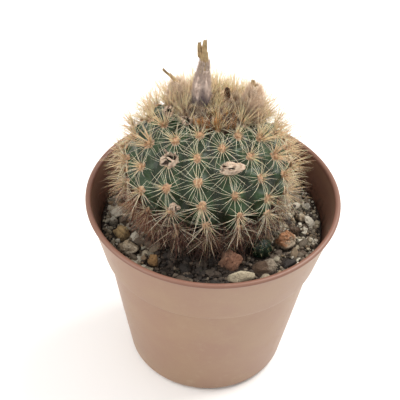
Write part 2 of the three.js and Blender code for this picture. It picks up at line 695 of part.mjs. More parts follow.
const plant = new THREE.Group();
plant.add(meshOf('pot', pot, COLOURS.pot, 0.45));
plant.add(meshOf('soil', soil, COLOURS.soil, 0.95));
PEBBLES.forEach((stone, i) => {
  const name = `pebble_${String(i + 1).padStart(2, '0')}`;
  plant.add(meshOf(name, pebbles[i], stone.colour, 0.85));
});
plant.add(meshOf('cactus_stem', stem, COLOURS.stem, 0.6));
plant.add(meshOf('crown_wool', crown, COLOURS.crown, 0.9));
FLOWERS.forEach((flower, i) => plant.add(meshOf(flower.name, flowers[i], COLOURS.flower, 0.9)));
HUSKS.forEach((shell, i) => plant.add(meshOf(shell.name, husks[i], COLOURS.husk, 0.85)));
plant.add(meshOf('petal_scrap', scrap, COLOURS.scrap, 0.85));
plant.add(meshOf('seedling', sprout, COLOURS.seedling, 0.6));

export default plant;
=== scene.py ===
"""A small globular cactus in a plastic nursery pot, dressed for the camera.

Shapes are worked out in millimetres, in the pot's own frame: the origin is the middle of the foot
ring, +Z is up and the viewer stands towards -Y. Meshes are written in metres.
"""

import logging
import math
from collections.abc import Sequence
from dataclasses import dataclass, field
from enum import Enum

import bpy
import numpy as np
from mathutils import Matrix, Vector
from numpy.random import Generator, default_rng


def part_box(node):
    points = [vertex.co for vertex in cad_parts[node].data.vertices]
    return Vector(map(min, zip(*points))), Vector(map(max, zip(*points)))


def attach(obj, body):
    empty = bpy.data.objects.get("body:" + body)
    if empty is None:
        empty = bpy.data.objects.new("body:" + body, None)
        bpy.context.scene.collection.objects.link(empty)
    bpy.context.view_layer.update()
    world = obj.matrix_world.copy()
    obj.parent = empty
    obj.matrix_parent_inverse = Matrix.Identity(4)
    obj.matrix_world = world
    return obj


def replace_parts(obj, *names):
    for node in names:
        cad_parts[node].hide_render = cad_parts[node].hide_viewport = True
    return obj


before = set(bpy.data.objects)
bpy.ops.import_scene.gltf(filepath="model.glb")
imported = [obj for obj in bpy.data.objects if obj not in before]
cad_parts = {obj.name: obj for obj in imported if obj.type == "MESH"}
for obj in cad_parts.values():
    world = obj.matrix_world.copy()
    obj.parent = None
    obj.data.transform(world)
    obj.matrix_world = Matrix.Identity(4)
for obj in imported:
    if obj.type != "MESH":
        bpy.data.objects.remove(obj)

Array = np.ndarray
Pair = tuple[float, float]
Pairs = tuple[Pair, ...]
Triple = tuple[float, float, float]
Ball = tuple[Array, float]
Material = bpy.types.Material
Socket = bpy.types.NodeSocket
MM = 0.001
SOIL_LEVEL = 37.0
TURN = 2 * np.pi
EAST = np.array([1.0, 0.0, 0.0])
UPRIGHT = np.array([0.0, 0.0, 1.0])
LOG = logging.getLogger("potted_cactus")


# Numbers and shapes

def unit(vectors: Array) -> Array:
    """Vectors scaled to length one along their last axis."""
    return vectors / np.maximum(np.linalg.norm(vectors, axis=-1, keepdims=True), 1e-9)


def smoothstep(value: Array, low: float, high: float) -> Array:
    """A soft step: 0 below low, 1 above high and a cubic between them."""
    share = np.clip((np.asarray(value, float) - low) / (high - low), 0, 1)
    return share * share * (3 - 2 * share)


def ripple(points: Array, wavelength: float, seed: int) -> Array:
    """Smooth noise between about -1 and 1 at each point.

    A mean of sine waves that run in random directions, each near one wavelength.

    Args:
        points: positions, in the unit of the wavelength.
        wavelength: the size of the lumps.
        seed: which noise.

    Returns:
        One number for each point.
    """
    waves = 14
    rng = default_rng(seed)
    heading = unit(rng.normal(size=(waves, 3))) * rng.uniform(0.65, 1.5, (waves, 1))
    phase = rng.uniform(0, TURN, waves)
    angle = points @ (heading.T * 2 * np.pi / wavelength) + phase
    return np.sin(angle).mean(-1) * math.sqrt(waves) * 0.75


def lumpy(points: Array, lumps: Sequence[Pair], seed: int) -> Array:
    """A sum of ripples, one for each pair of wavelength and height, with seeds that count up."""
    return sum(height * ripple(points, size, seed + order) for order, (size, height) in enumerate(lumps))


def full_turn(count: int) -> Array:
    """Angles of points spaced evenly round a ring."""
    return np.arange(count) * TURN / count


def round_z(radius: Array | float, angle: Array, height: Array | float) -> Array:
    """Points at a radius and a height round Z: angle 0 faces the viewer and a right angle lies at +X."""
    return np.stack(np.broadcast_arrays(radius * np.sin(angle), -radius * np.cos(angle), height), -1)


def leaning_axes(lean: Triple) -> Array:
    """Rows: the east, back and up directions of what stands along a leaning line."""
    up = unit(np.array(lean))
    east = unit(EAST - up * up[0])
    return np.stack([east, np.cross(up, east), up])


def crossed_frame(direction: Array) -> tuple[Array, Array]:
    """Two unit vectors that stand square to each direction and to each other."""
    helper = np.where(np.abs(direction[..., 2:3]) < 0.9, UPRIGHT, EAST)
    first = unit(np.cross(helper, direction))
    return first, np.cross(direction, first)


@dataclass
class Surface:
    """Points, the quads and triangles between them, and under each mark's name a number for each point."""

    points: Array
    quads: Array = field(default_factory=lambda: np.zeros((0, 4), int))
    triangles: Array = field(default_factory=lambda: np.zeros((0, 3), int))
    marks: dict[str, Array] = field(default_factory=dict)

    @staticmethod
    def joined(parts: Sequence["Surface"]) -> "Surface":
        """One surface that holds all the parts, which carry the same marks.

        Args:
            parts: the surfaces to join.

        Returns:
            The joined surface.
        """
        starts = np.cumsum([0] + [len(part.points) for part in parts[:-1]])
        return Surface(
            np.concatenate([part.points for part in parts]),
            np.concatenate([part.quads + start for part, start in zip(parts, starts)]),
            np.concatenate([part.triangles + start for part, start in zip(parts, starts)]),
            {name: np.concatenate([part.marks[name] for part in parts]) for name in parts[0].marks},
        )


def ring_quads(rows: int, columns: int) -> Array:
    """Quads of a grid whose columns run round and close, with its rows from the bottom up.

    Args:
        rows: how many rings.
        columns: how many points a ring has.

    Returns:
        Point numbers, four to a face.
    """
    row, column = np.meshgrid(np.arange(rows - 1), np.arange(columns), indexing="ij")
    here = row * columns + column
    beside = row * columns + (column + 1) % columns
    return np.stack([here, beside, beside + columns, here + columns], -1).reshape(-1, 4)


def closed_rings(
    rings: Array, marks: dict[str, Array] | None = None,
    bottom: Array | None = None, top: Array | None = None,
) -> Surface:
    """A closed skin through rings of points, with one pole point at each end.

    Args:
        rings: an array of rows, columns and 3, from the bottom up and turning from -Y to +X.
        marks: numbers of rows by columns; the poles take their nearest row's mean.
        bottom: the point that closes the first row, or None for its mean.
        top: the point that closes the last row, or None for its mean.

    Returns:
        The surface, with its faces outward.
    """
    rows, columns = rings.shape[:2]
    around = np.arange(columns)
    after = (around + 1) % columns
    low, high = rows * columns, rows * columns + 1
    last = (rows - 1) * columns
    fans = np.concatenate([
        np.stack([after, around, np.full(columns, low)], -1),
        np.stack([around + last, after + last, np.full(columns, high)], -1),
    ])
    poles = [rings[0].mean(0) if bottom is None else bottom, rings[-1].mean(0) if top is None else top]
    points = np.concatenate([rings.reshape(-1, 3), poles])
    drawn = {
        name: np.concatenate([mark.ravel(), [mark[0].mean(), mark[-1].mean()]])
        for name, mark in (marks or {}).items()
    }
    return Surface(points, ring_quads(rows, columns), fans, drawn)


def turned(profile: Array, columns: int) -> Array:
    """Rings of a profile of (radius, height) turned about Z."""
    return round_z(profile[:, :1], full_turn(columns), profile[:, 1:])


def strip_section(span: int, face: float) -> tuple[Array, Array]:
    """The section of a thin strip, out along one face and back along the other.

    Args:
        span: how many points each face has.
        face: how far the first face stands before the strip's middle; the second lies as far behind.

    Returns:
        How far across each point lies, from -1 to 1, and how far before the middle, as rows.
    """
    across = np.concatenate([np.linspace(-1, 1, span), np.linspace(1, -1, span)])
    return across[None], np.repeat([face, -face], span)[None]


def rounded_profile(corners: Array, radius: float, step: float) -> Array:
    """A profile with its corners eased and its long runs divided.

    Each inner corner becomes a quadratic arc that starts and ends one radius from it, or at 0.45 of
    a short side, and every run longer than the step is divided evenly.

    Args:
        corners: (radius, height) pairs.
        radius: how far from a corner its arc starts.
        step: the longest run left.

    Returns:
        The finer profile, with the same first and last points.
    """
    inner = corners[1:-1]
    sides = [other - inner for other in (corners[:-2], corners[2:])]
    start, end = [
        inner + side * np.minimum(radius / np.linalg.norm(side, axis=1, keepdims=True), 0.45)
        for side in sides
    ]
    share = np.linspace(0, 1, 5)[None, :, None]
    arcs = start[:, None] * (1 - share) ** 2 + 2 * inner[:, None] * share * (1 - share)
    arcs = arcs + end[:, None] * share ** 2
    eased = np.concatenate([corners[:1], arcs.reshape(-1, 2), corners[-1:]])
    run = np.concatenate([[0], np.cumsum(np.linalg.norm(np.diff(eased, axis=0), axis=1))])
    stations = np.union1d(np.round(run, 5), np.round(np.arange(0, run[-1], step), 5))
    return np.stack([np.interp(stations, run, eased[:, axis]) for axis in (0, 1)], -1)


def strands(
    roots: Array, directions: Array, lengths: Array, radii: Array | float, bends: Array | float,
    sides: int, steps: int, tones: Array | float, floor: float | None = None, keep: Array | None = None,
) -> Surface:
    """Many thin tapered spines or hairs in one surface.

    A centre line is root + length (t direction + t squared bend), and its radius falls as
    (1 - t) to the power 0.6, to a point at the tip. A small cap closes each root.

    Args:
        roots: where each strand starts.
        directions: unit directions at the root.
        lengths: one for each strand.
        radii: radius at each root.
        bends: how far each strand leaves its straight line at the tip, in lengths.
        sides: corners of its section.
        steps: divisions of its length.
        tones: a colour number for each strand.
        floor: a height that no centre line goes below.
        keep: which strands are made, or None for all of them.

    Returns:
        The surface, marked with along, from root to tip, and tone.
    """
    count = len(roots)
    lengths, radii, tones = [np.broadcast_to(each, (count,)) for each in (lengths, radii, tones)]
    bends = np.broadcast_to(bends, (count, 3))
    if keep is not None:
        chosen = [each[keep] for each in (roots, directions, lengths, radii, bends, tones)]
        roots, directions, lengths, radii, bends, tones = chosen
        count = len(roots)
    share = np.linspace(0, 1, steps + 1)
    line = share[None, :, None] * directions[:, None] + (share ** 2)[None, :, None] * bends[:, None]
    centres = roots[:, None] + lengths[:, None, None] * line
    if floor is not None:
        lowest = np.minimum(roots[:, None, 2], floor + 0.25 * share[None, ::-1])
        centres[..., 2] = np.maximum(centres[..., 2], lowest)
    first, second = crossed_frame(directions)
    turn = full_turn(sides)[None, :, None]
    section = first[:, None] * np.cos(turn) + second[:, None] * np.sin(turn)
    width = radii[:, None] * (1 - share[:-1]) ** 0.6
    rings = centres[:, :-1, None] + width[:, :, None, None] * section[:, None]
    points = np.concatenate([rings.reshape(count, -1, 3), centres[:, -1:]], 1)
    per = steps * sides + 1
    starts = np.arange(count)[:, None, None] * per
    quads = (ring_quads(steps, sides)[None] + starts).reshape(-1, 4)
    around, last = np.arange(sides), (steps - 1) * sides
    tip = np.stack([around + last, (around + 1) % sides + last, np.full(sides, per - 1)], -1)
    cap = np.stack([np.zeros(sides - 2, int), around[2:], around[1:-1]], -1)
    fans = (np.concatenate([tip, cap])[None] + starts).reshape(-1, 3)
    along = np.append(np.repeat(share[:-1], sides), 1.0)
    return Surface(points.reshape(-1, 3), quads, fans, {
        "along": np.tile(along, count),
        "tone": np.repeat(tones, per),
    })


def stone_rings(seed: int, facets: int, rows: int, columns: int, roughness: float) -> tuple[Array, Array]:
    """A worn, faceted stone that fits in a box from -1 to 1.

    Seen from its middle along d, the skin lies at (sum of max(d . n, 0) ^ power over its facets n)
    ^ (-1 / power): a polyhedron whose edges a low power rounds. Lumps of three sizes lie on it.

    Args:
        seed: which stone.
        facets: how many pairs of flat sides.
        rows: rings from pole to pole.
        columns: points in a ring.
        roughness: how far its lumps stand out, as a share of its size.

    Returns:
        The rings and the two pole points.
    """
    rng = default_rng(seed)
    facing = unit(rng.normal(size=(facets, 3)))
    facing = np.concatenate([facing, -facing])
    reach = rng.uniform(0.75, 1.1, len(facing))
    tilt = np.linspace(-np.pi / 2, np.pi / 2, rows + 2)[:, None]
    heading = round_z(np.cos(tilt), full_turn(columns), np.sin(tilt))
    shadow = np.maximum(heading @ facing.T, 0) / reach
    power = 12.0
    distance = (shadow ** power).sum(-1) ** (-1 / power)
    lumps = roughness * lumpy(heading, ((0.9, 1.0), (0.36, 0.6), (0.17, 0.35)), seed + 1)
    skin = heading * (distance * (1 + lumps))[..., None]
    low, high = skin.min((0, 1)), skin.max((0, 1))
    skin = (skin - (low + high) / 2) / ((high - low) / 2)
    return skin[1:-1], np.stack([skin[0].mean(0), skin[-1].mean(0)])


def placed(name: str, data: bpy.types.ID) -> bpy.types.Object:
    """A new object of the scene, at the origin, that shows a mesh, a light or a camera."""
    thing = bpy.data.objects.new(name, data)
    bpy.context.scene.collection.objects.link(thing)
    return thing


def make_piece(
    name: str, surface: Surface, material: Material, smooth: bool = True,
) -> bpy.types.Object:
    """Writes a surface into a mesh object in metres, at the origin, and lets it ride on the pot's body.

    Args:
        name: the piece's name.
        surface: its shape in millimetres.
        material: its finish.
        smooth: whether its faces are shaded smooth.

    Returns:
        The new object.
    """
    mesh = bpy.data.meshes.new(name)
    quads, triangles = surface.quads, surface.triangles
    corners = np.concatenate([quads.ravel(), triangles.ravel()]).astype(np.int32)
    starts = np.concatenate([np.arange(len(quads)) * 4, len(quads) * 4 + np.arange(len(triangles)) * 3])
    mesh.vertices.add(len(surface.points))
    mesh.vertices.foreach_set("co", (surface.points * MM).astype(np.float32).ravel())
    mesh.loops.add(len(corners))
    mesh.loops.foreach_set("vertex_index", corners)
    mesh.polygons.add(len(starts))
    mesh.polygons.foreach_set("loop_start", starts.astype(np.int32))
    mesh.polygons.foreach_set("use_smooth", np.full(len(starts), smooth))
    mesh.update(calc_edges=True)
    for mark, values in surface.marks.items():
        layer = mesh.attributes.new(mark, "FLOAT", "POINT")
        layer.data.foreach_set("value", values.astype(np.float32))
    mesh.materials.append(material)
    piece = placed(name, mesh)
    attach(piece, "root")
    LOG.info("%s: %d triangles", name, 2 * len(quads) + len(triangles))
    return piece


def node_box(node: str) -> tuple[Array, Array]:
    """Middle and half sizes of the box of one of the frame's solids, in millimetres."""
    low, high = [np.array(corner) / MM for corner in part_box(node)]
    return (low + high) / 2, (high - low) / 2


def fitted(points: Array, node: str) -> Array:
    """Points moved and stretched to fill the box of a solid."""
    middle, half = node_box(node)
    low, high = points.min(0), points.max(0)
    return (points - (low + high) / 2) * 2 * half / (high - low) + middle


# Finishes

def paint(code: str) -> tuple[float, float, float, float]:
    """The linear colour of a six-digit screen colour."""
    values = [int(code[i:i + 2], 16) / 255 for i in (0, 2, 4)]
    linear = [v / 12.92 if v <= 0.04045 else ((v + 0.055) / 1.055) ** 2.4 for v in values]
    return (*linear, 1.0)


class Value:
    """A shader number that takes part in Python sums."""

    def __init__(self, shader: "Shader", socket: Socket) -> None:
        """Wraps an output socket of the shader's tree."""
        self.shader = shader
        self.socket = socket

    def _math(self, operation: str, first: "Value | float", second: "Value | float") -> "Value":
        """A Math node on two values."""
        node = self.shader.node("ShaderNodeMath", {0: first, 1: second}, operation=operation)
        return Value(self.shader, node.outputs[0])

    def __add__(self, other: "Value | float") -> "Value":
        """Sum."""
        return self._math("ADD", self, other)

    __radd__ = __add__

    def __sub__(self, other: "Value | float") -> "Value":
        """Difference."""
        return self._math("SUBTRACT", self, other)

    def __rsub__(self, other: float) -> "Value":
        """A number less this value."""
        return self._math("SUBTRACT", other, self)

    def __mul__(self, other: "Value | float") -> "Value":
        """Product."""
        return self._math("MULTIPLY", self, other)

    __rmul__ = __mul__

    def least(self, other: "Value | float") -> "Value":
        """The smaller of two values."""
        return self._math("MINIMUM", self, other)

    def between(self, low: float, high: float) -> "Value":
        """A soft step from 0 at low to 1 at high."""
        inputs = {"Value": self, "From Min": low, "From Max": high}
        node = self.shader.node("ShaderNodeMapRange", inputs, interpolation_type="SMOOTHSTEP")
        return Value(self.shader, node.outputs[0])


class Shader:
    """One material's node tree, with a Principled shader at its end."""

    def __init__(self, name: str, **fixed: float | tuple) -> None:
        """Starts a material.

        Args:
            name: the material's name.
            fixed: values that are the same all over, by the socket's name with _ for a space.
        """
        self.material = bpy.data.materials.new(name)
        self.material.use_nodes = True
        self.tree = self.material.node_tree
        self.tree.nodes.clear()
        self.surface = self.node("ShaderNodeBsdfPrincipled")
        self.node("ShaderNodeOutputMaterial", {0: self.surface.outputs[0]})
        self.set(**fixed)

    def node(self, kind: str, inputs: dict | None = None, **settings: object) -> bpy.types.Node:
        """Adds a node.

        Args:
            kind: its Blender type.
            inputs: values, Values or sockets for its inputs, by name or number.
            settings: its own options, set first; stops are a ramp's places and colours.

        Returns:
            The node.
        """
        node = self.tree.nodes.new(kind)
        for name, value in settings.items():
            if name == "stops":
                self._stops(node.color_ramp, value)
            else:
                setattr(node, name, value)
        for key, value in (inputs or {}).items():
            self._feed(node.inputs[key], value)
        return node

    def _feed(self, socket: Socket, value: Value | Socket | float | tuple) -> None:
        """Links an input socket to a Value or an output, or writes a constant into it.

        Args:
            socket: the input.
            value: what it gets.
        """
        source = value.socket if isinstance(value, Value) else value
        if isinstance(source, Socket):
            self.tree.links.new(source, socket)
        else:
            socket.default_value = source

    @staticmethod
    def _stops(ramp: bpy.types.ColorRamp, stops: Sequence[tuple[float, str]]) -> None:
        """Gives a ramp its places and colours.

        Args:
            ramp: the node's ramp.
            stops: a place and a colour code for each stop.
        """
        while len(ramp.elements) < len(stops):
            ramp.elements.new(1.0)
        for element, (place, code) in zip(ramp.elements, stops):
            element.position = place
            element.color = paint(code)

    def set(self, **inputs: Value | Socket | float | tuple) -> None:
        """Sets or links the surface shader's sockets, by name with _ for a space."""
        for name, value in inputs.items():
            self._feed(self.surface.inputs[name.replace("_", " ")], value)

    def position(self) -> Socket:
        """Object coordinates, in metres."""
        return self.node("ShaderNodeTexCoord").outputs["Object"]

    def axis(self, letter: str) -> Value:
        """One coordinate of the object, in millimetres."""
        split = self.node("ShaderNodeSeparateXYZ", {0: self.position()})
        return Value(self, split.outputs[letter]) * (1 / MM)

    def mark(self, name: str) -> Value:
        """A number that the mesh carries at each point."""
        return Value(self, self.node("ShaderNodeAttribute", attribute_name=name).outputs["Fac"])

    def noise(self, size: float, detail: float, roughness: float = 0.55, distortion: float = 0.0) -> Value:
        """Cloudy noise from 0 to 1, with lumps of a size in millimetres and finer layers on them.

        Args:
            size: how wide a lump is.
            detail: how many finer layers it has.
            roughness: how strong they are.
            distortion: how far they swirl.

        Returns:
            The noise.
        """
        inputs = {
            "Vector": self.position(), "Scale": 1 / (size * MM), "Detail": detail,
            "Roughness": roughness, "Distortion": distortion,
        }
        return Value(self, self.node("ShaderNodeTexNoise", inputs).outputs["Fac"])

    def cells(self, size: float) -> Value:
        """Distance to the nearest of scattered spots a size in millimetres apart, as a share of it."""
        inputs = {"Vector": self.position(), "Scale": 1 / (size * MM)}
        return Value(self, self.node("ShaderNodeTexVoronoi", inputs).outputs["Distance"])

    def ramp(self, value: Value, stops: Sequence[tuple[float, str]]) -> Socket:
        """A colour that runs through stops."""
        return self.node("ShaderNodeValToRGB", {0: value}, stops=stops).outputs[0]

    def blend(self, share: Value, first: str | Socket, second: str | Socket) -> Socket:
        """A mix of two colours, each a screen colour or a socket, by the share of the second one."""
        colours = [paint(colour) if isinstance(colour, str) else colour for colour in (first, second)]
        inputs = {0: share, 6: colours[0], 7: colours[1]}
        return self.node("ShaderNodeMix", inputs, data_type="RGBA").outputs[2]

    def bump(self, height: Value, depth: float, strength: float = 1.0) -> None:
        """Gives the surface a fine relief, whose height of 1 stands out by a depth in millimetres."""
        inputs = {"Height": height, "Distance": depth * MM, "Strength": strength}
        self.set(Normal=self.node("ShaderNodeBump", inputs).outputs[0])


@dataclass(frozen=True)
class PotPlastic:
    """Thin brown moulded plastic with a soft sheen, a darker lip, and water marks and painted shade on its
    inside.

    Its zones are heights between which dust, water marks, the painted inner shade and scuffs fade in or
    out.
    """

    tan: str = "92745b"
    pink: str = "8b6856"
    dust: str = "ab9881"
    lip: str = "714c40"
    inner_shade: str = "704b3e"
    stain: str = "382a22"
    dusty_foot: Pair = (1, 9)
    scuffed: Pair = (30, 44)
    splashed: Pair = (SOIL_LEVEL - 0.5, SOIL_LEVEL + 4.0)
    inner_shade_fade: Pair = (41, 45)
    lip_foot: Pair = (44.05, 44.25)

    def material(self) -> Material:
        """Builds the finish."""
        shader = Shader("pot_plastic", IOR=1.47, Specular_IOR_Level=0.45)
        clouds = shader.noise(11, 4, 0.6)
        fine = shader.noise(0.35, 2)
        height = shader.axis("Z")
        base = shader.blend(clouds.between(0.35, 0.7) * 0.6, self.tan, self.pink)
        dusty = shader.noise(2.2, 5, 0.7).between(0.5, 0.78)
        low = 1 - height.between(*self.dusty_foot)
        inside = 1 - shader.mark("outside")
        colour = shader.blend(dusty * 0.3 + low * dusty * 0.25, base, self.dust)
        colour = shader.blend(height.between(*self.lip_foot) * 0.75, colour, self.lip)
        # Painted shade: the inner wall is darkened towards the inner shade colour, a little less near the
        # rim.
        colour = shader.blend(inside * (1 - height.between(*self.inner_shade_fade) * 0.45) * 0.9, colour, self.inner_shade)
        splash = inside * (1 - height.between(*self.splashed))
        crumbs = shader.noise(1.1, 5, 0.75).between(0.44, 0.6)
        colour = shader.blend((splash * crumbs).least(0.8), colour, self.stain)
        scuffs = shader.noise(0.6, 4, 0.75).between(0.66, 0.76) * height.between(*self.scuffed)
        colour = shader.blend(scuffs * 0.25, colour, self.dust)
        shader.set(Base_Color=colour, Roughness=0.36 + 0.18 * dusty + 0.06 * fine)
        shader.bump(fine * 0.5 + shader.noise(0.9, 2) * 0.5, 0.035, 0.5)
        return shader.material


@dataclass(frozen=True)
class Skin:
    """Waxy dark green cactus skin: a bluish waxy coat with a painted sky sheen on its upward faces, painted
    shade in its grooves and painted highlight on its tubercles, brown and corky near the soil.
    """

    name: str = "cactus_skin"
    deep: str = "1a2616"
    fresh: str = "2d4426"
    bloom_and_sky_sheen: str = "495a42"
    cork: str = "36271c"
    groove_shade: str = "0e0f08"
    speck: str = "747f64"
    scar: str = "6d5c40"
    corky: Pair = (39.5, 47.5)
    translucent: tuple[float, float, float] = (0.35, 1.0, 0.3)

    def material(self) -> Material:
        """Builds the finish."""
        shader = Shader(
            self.name, IOR=1.42, Specular_IOR_Level=0.35, Coat_Roughness=0.28,
            Subsurface_Weight=0.08, Subsurface_Scale=0.001, Subsurface_Radius=self.translucent,
        )
        crest = shader.mark("crest")
        knob = shader.mark("knob")
        patches = shader.noise(3.2, 4, 0.6)
        green = shader.blend(patches.between(0.3, 0.72), self.deep, self.fresh)
        # Painted highlight: the tubercles are lightened towards the fresh green.
        green = shader.blend(knob.between(0.35, 0.9) * 0.3, green, self.fresh)
        # Painted reflection: upward-facing skin is blended towards its bluish waxy colour, as if it
        # mirrored the sky; the waxy coat itself is real.
        sky = shader.mark("upward").between(0.1, 0.95)
        cloud = shader.noise(2.0, 3, 0.6)
        green = shader.blend(sky * cloud.between(0.38, 0.7) * 0.55, green, self.bloom_and_sky_sheen)
        # Painted shade: the grooves between the ribs are darkened.
        green = shader.blend((1 - crest.between(0.0, 0.5)) * 0.65, green, self.groove_shade)
        specks = 1 - shader.cells(0.36).between(0.12, 0.3)
        green = shader.blend(specks * 0.25, green, self.speck)
        low = 1 - shader.axis("Z").between(*self.corky)
        scab = (low * 1.15 + (shader.noise(1.6, 5, 0.7) - 0.5) * 0.9).between(0.4, 0.9)
        colour = shader.blend(scab, green, self.cork)
        scars = shader.noise(1.1, 5, 0.7).between(0.64, 0.74)
        colour = shader.blend(scars * 0.3, colour, self.scar)
        dull = 0.4 + 0.35 * scab + 0.1 * patches
        shader.set(Base_Color=colour, Roughness=dull, Coat_Weight=0.12 * (1 - scab))
        pores = shader.noise(0.28, 3) * 0.5 + shader.cells(0.36) * 0.35
        shader.bump(pores + scab * shader.noise(0.5, 4) * 0.8, 0.06, 0.6)
        return shader.material


@dataclass(frozen=True)
class Spine:
    """Dry, slightly see-through spines with a darker root; a high tone turns them to their aged colour,
    which on the crown's bristles is partly painted shade.

    Those low on the left carry a painted rusty orange cast of warm reflected light, which fades out between
    two places on X and Z.
    """

    name: str
    root: str
    middle: str
    tip: str
    aged: str
    stain: str = "945839"
    bounce_side: Pair = (-15, -6)
    bounce_top: Pair = (46, 52)

    def material(self) -> Material:
        """Builds the finish."""
        shader = Shader(self.name, IOR=1.5, Subsurface_Weight=0.15, Subsurface_Scale=0.0004)
        stops = [(0.0, self.root), (0.2, self.middle), (0.75, self.middle), (1.0, self.tip)]
        colour = shader.ramp(shader.mark("along"), stops)
        colour = shader.blend(shader.mark("tone"), colour, self.aged)
        flecks = shader.noise(0.8, 2)
        colour = shader.blend(flecks.between(0.5, 0.8) * 0.2, colour, self.root)
        # Painted reflected light: spines low on the left are tinted rusty orange.
        beside = 1 - shader.axis("X").between(*self.bounce_side)
        below = 1 - shader.axis("Z").between(*self.bounce_top)
        blotches = shader.noise(3.5, 3, 0.6).between(0.35, 0.6)
        colour = shader.blend(beside * below * blotches * 0.5, colour, self.stain)
        shader.set(Base_Color=colour, Roughness=0.42 + 0.2 * flecks)
        return shader.material


@dataclass(frozen=True)
class Wool:
    """Short dry wool, in two colours that drift from tuft to tuft and a shade where the tone is high; on
    the crown the tone is partly painted shade.
    """

    name: str
    light: str
    dark: str
    tinge: str
    shade: str
    lump: float = 1.2

    def material(self) -> Material:
        """Builds the finish."""
        shader = Shader(self.name, IOR=1.5, Sheen_Weight=0.3, Sheen_Roughness=0.45)
        drift = shader.noise(self.lump, 4, 0.65)
        colour = shader.blend(drift.between(0.34, 0.66), self.dark, self.light)
        colour = shader.blend(shader.noise(self.lump * 2.4, 2).between(0.5, 0.7) * 0.6, colour, self.tinge)
        colour = shader.blend(shader.mark("tone"), colour, self.shade)
        shader.set(Base_Color=colour, Roughness=0.85 + 0.1 * drift)
        shader.bump(shader.noise(0.16, 3), 0.06, 0.7)
        return shader.material


@dataclass(frozen=True)
class DryTissue:
    """Papery dead tissue: veined along its length, with painted shade in its folds and hollows."""

    name: str
    light: str
    dark: str
    inside: str
    vein: float = 0.35

    def material(self) -> Material:
        """Builds the finish."""
        shader = Shader(self.name, IOR=1.45, Subsurface_Weight=0.06, Subsurface_Scale=0.0004)
        drift = shader.noise(0.9, 4, 0.65)
        veins = shader.noise(self.vein, 2, 0.5, 1.2)
        colour = shader.blend(drift.between(0.4, 0.75), self.light, self.dark)
        colour = shader.blend(veins.between(0.52, 0.66) * 0.3, colour, self.dark)
        # Painted shade: where the hollow mark is high, in folds, inside husks and on curled inner faces,
        # the tissue is darkened to its inside colour.
        colour = shader.blend(shader.mark("hollow"), colour, self.inside)
        shader.set(Base_Color=colour, Roughness=0.7 + 0.2 * drift)
        shader.bump(veins * 0.6 + drift * 0.4, 0.07, 0.7)
        return shader.material


class StoneKind(Enum):
    """The kinds of pebble on the soil, as main colour, second colour and speck colour."""

    RUST = ("bbab93", "a06f4b", "cabba4")
    BROWN = ("54402f", "8f8270", "3d3028")
    PALE = ("a3977f", "c0b499", "8a7f68")
    RED = ("a2775f", "b8937a", "7a5848")
    OCHRE = ("957349", "9a9185", "6f5434")
    BUFF = ("b3976b", "c9b592", "927a55")
    BEIGE = ("b8a488", "cfc2aa", "927f68")
    GREY = ("7b756c", "989187", "59534c")
    DARK = ("35312f", "4c4643", "252221")
    CHALK = ("b3ab9a", "cec8b8", "8b8171")


@dataclass(frozen=True)
class Stone:
    """A rough stone of one kind: two colours that part across it, grains, stains and dirt near its foot."""

    kind: StoneKind
    dirt: str = "2a211b"
    crevice: str = "352a23"
    dirty: Pair = (SOIL_LEVEL + 0.1, SOIL_LEVEL + 1.5)

    def material(self) -> Material:
        """Builds the finish."""
        main, second, speck = self.kind.value
        shader = Shader(f"stone_{self.kind.name.lower()}", IOR=1.5)
        bands = shader.noise(1.8, 5, 0.7, 0.8)
        grain = shader.noise(0.35, 3, 0.7)
        parted = bands * 0.7 + shader.mark("side") * 0.4
        colour = shader.blend(parted.between(0.42, 0.6), main, second)
        colour = shader.blend(grain.between(0.52, 0.7) * 0.6, colour, speck)
        foot = (1 - shader.axis("Z").between(*self.dirty)) * 0.8
        colour = shader.blend(foot * shader.noise(0.8, 4, 0.7).between(0.3, 0.6), colour, self.dirt)
        pits = shader.noise(0.55, 5, 0.75)
        colour = shader.blend((1 - pits.between(0.32, 0.5)) * 0.75, colour, self.crevice)
        shader.set(Base_Color=colour, Roughness=0.7 + 0.28 * grain)
        shader.bump(grain * 0.6 + pits * 0.9, 0.35)
        return shader.material


@dataclass(frozen=True)
class Grit:
    """Loose grains of many stones, each of one colour that its tone picks."""

    shade: str = "2f2720"
    moss: str = "4d5a36"
    tones: tuple[tuple[float, str], ...] = (
        (0.0, "1a1613"), (0.24, "302822"), (0.4, "4a3f35"), (0.52, "6a5b4c"), (0.62, "6b6254"),
        (0.72, "927b60"), (0.81, "857e6f"), (0.9, "aa9d84"), (1.0, "cbc3b1"),
    )

    def material(self) -> Material:
        """Builds the finish."""
        shader = Shader("grit", IOR=1.5)
        grain = shader.noise(0.3, 4, 0.75)
        colour = shader.ramp(shader.mark("tone"), self.tones)
        colour = shader.blend(grain.between(0.48, 0.72) * 0.4, colour, self.shade)
        patches = shader.noise(1.4, 3, 0.6).between(0.6, 0.72)
        colour = shader.blend(patches * 0.25, colour, self.moss)
        shader.set(Base_Color=colour, Roughness=0.7 + 0.25 * grain)
        shader.bump(grain, 0.16)
        return shader.material


@dataclass(frozen=True)
class Loam:
    """The dark fine mix between the grains."""

    tones: tuple[tuple[float, str], ...] = (
        (0.3, "14100d"), (0.5, "2c231c"), (0.66, "4d3f33"), (0.78, "75634f"),
    )

    def material(self) -> Material:
        """Builds the finish."""
        shader = Shader("loam", IOR=1.45)
        lumps = shader.noise(0.7, 5, 0.75)
        shader.set(Base_Color=shader.ramp(lumps, self.tones), Roughness=0.85 + 0.1 * lumps)
        shader.bump(lumps * 0.7 + shader.cells(0.6) * 0.5, 0.25)
        return shader.material


# The cactus's shape, which its parts share

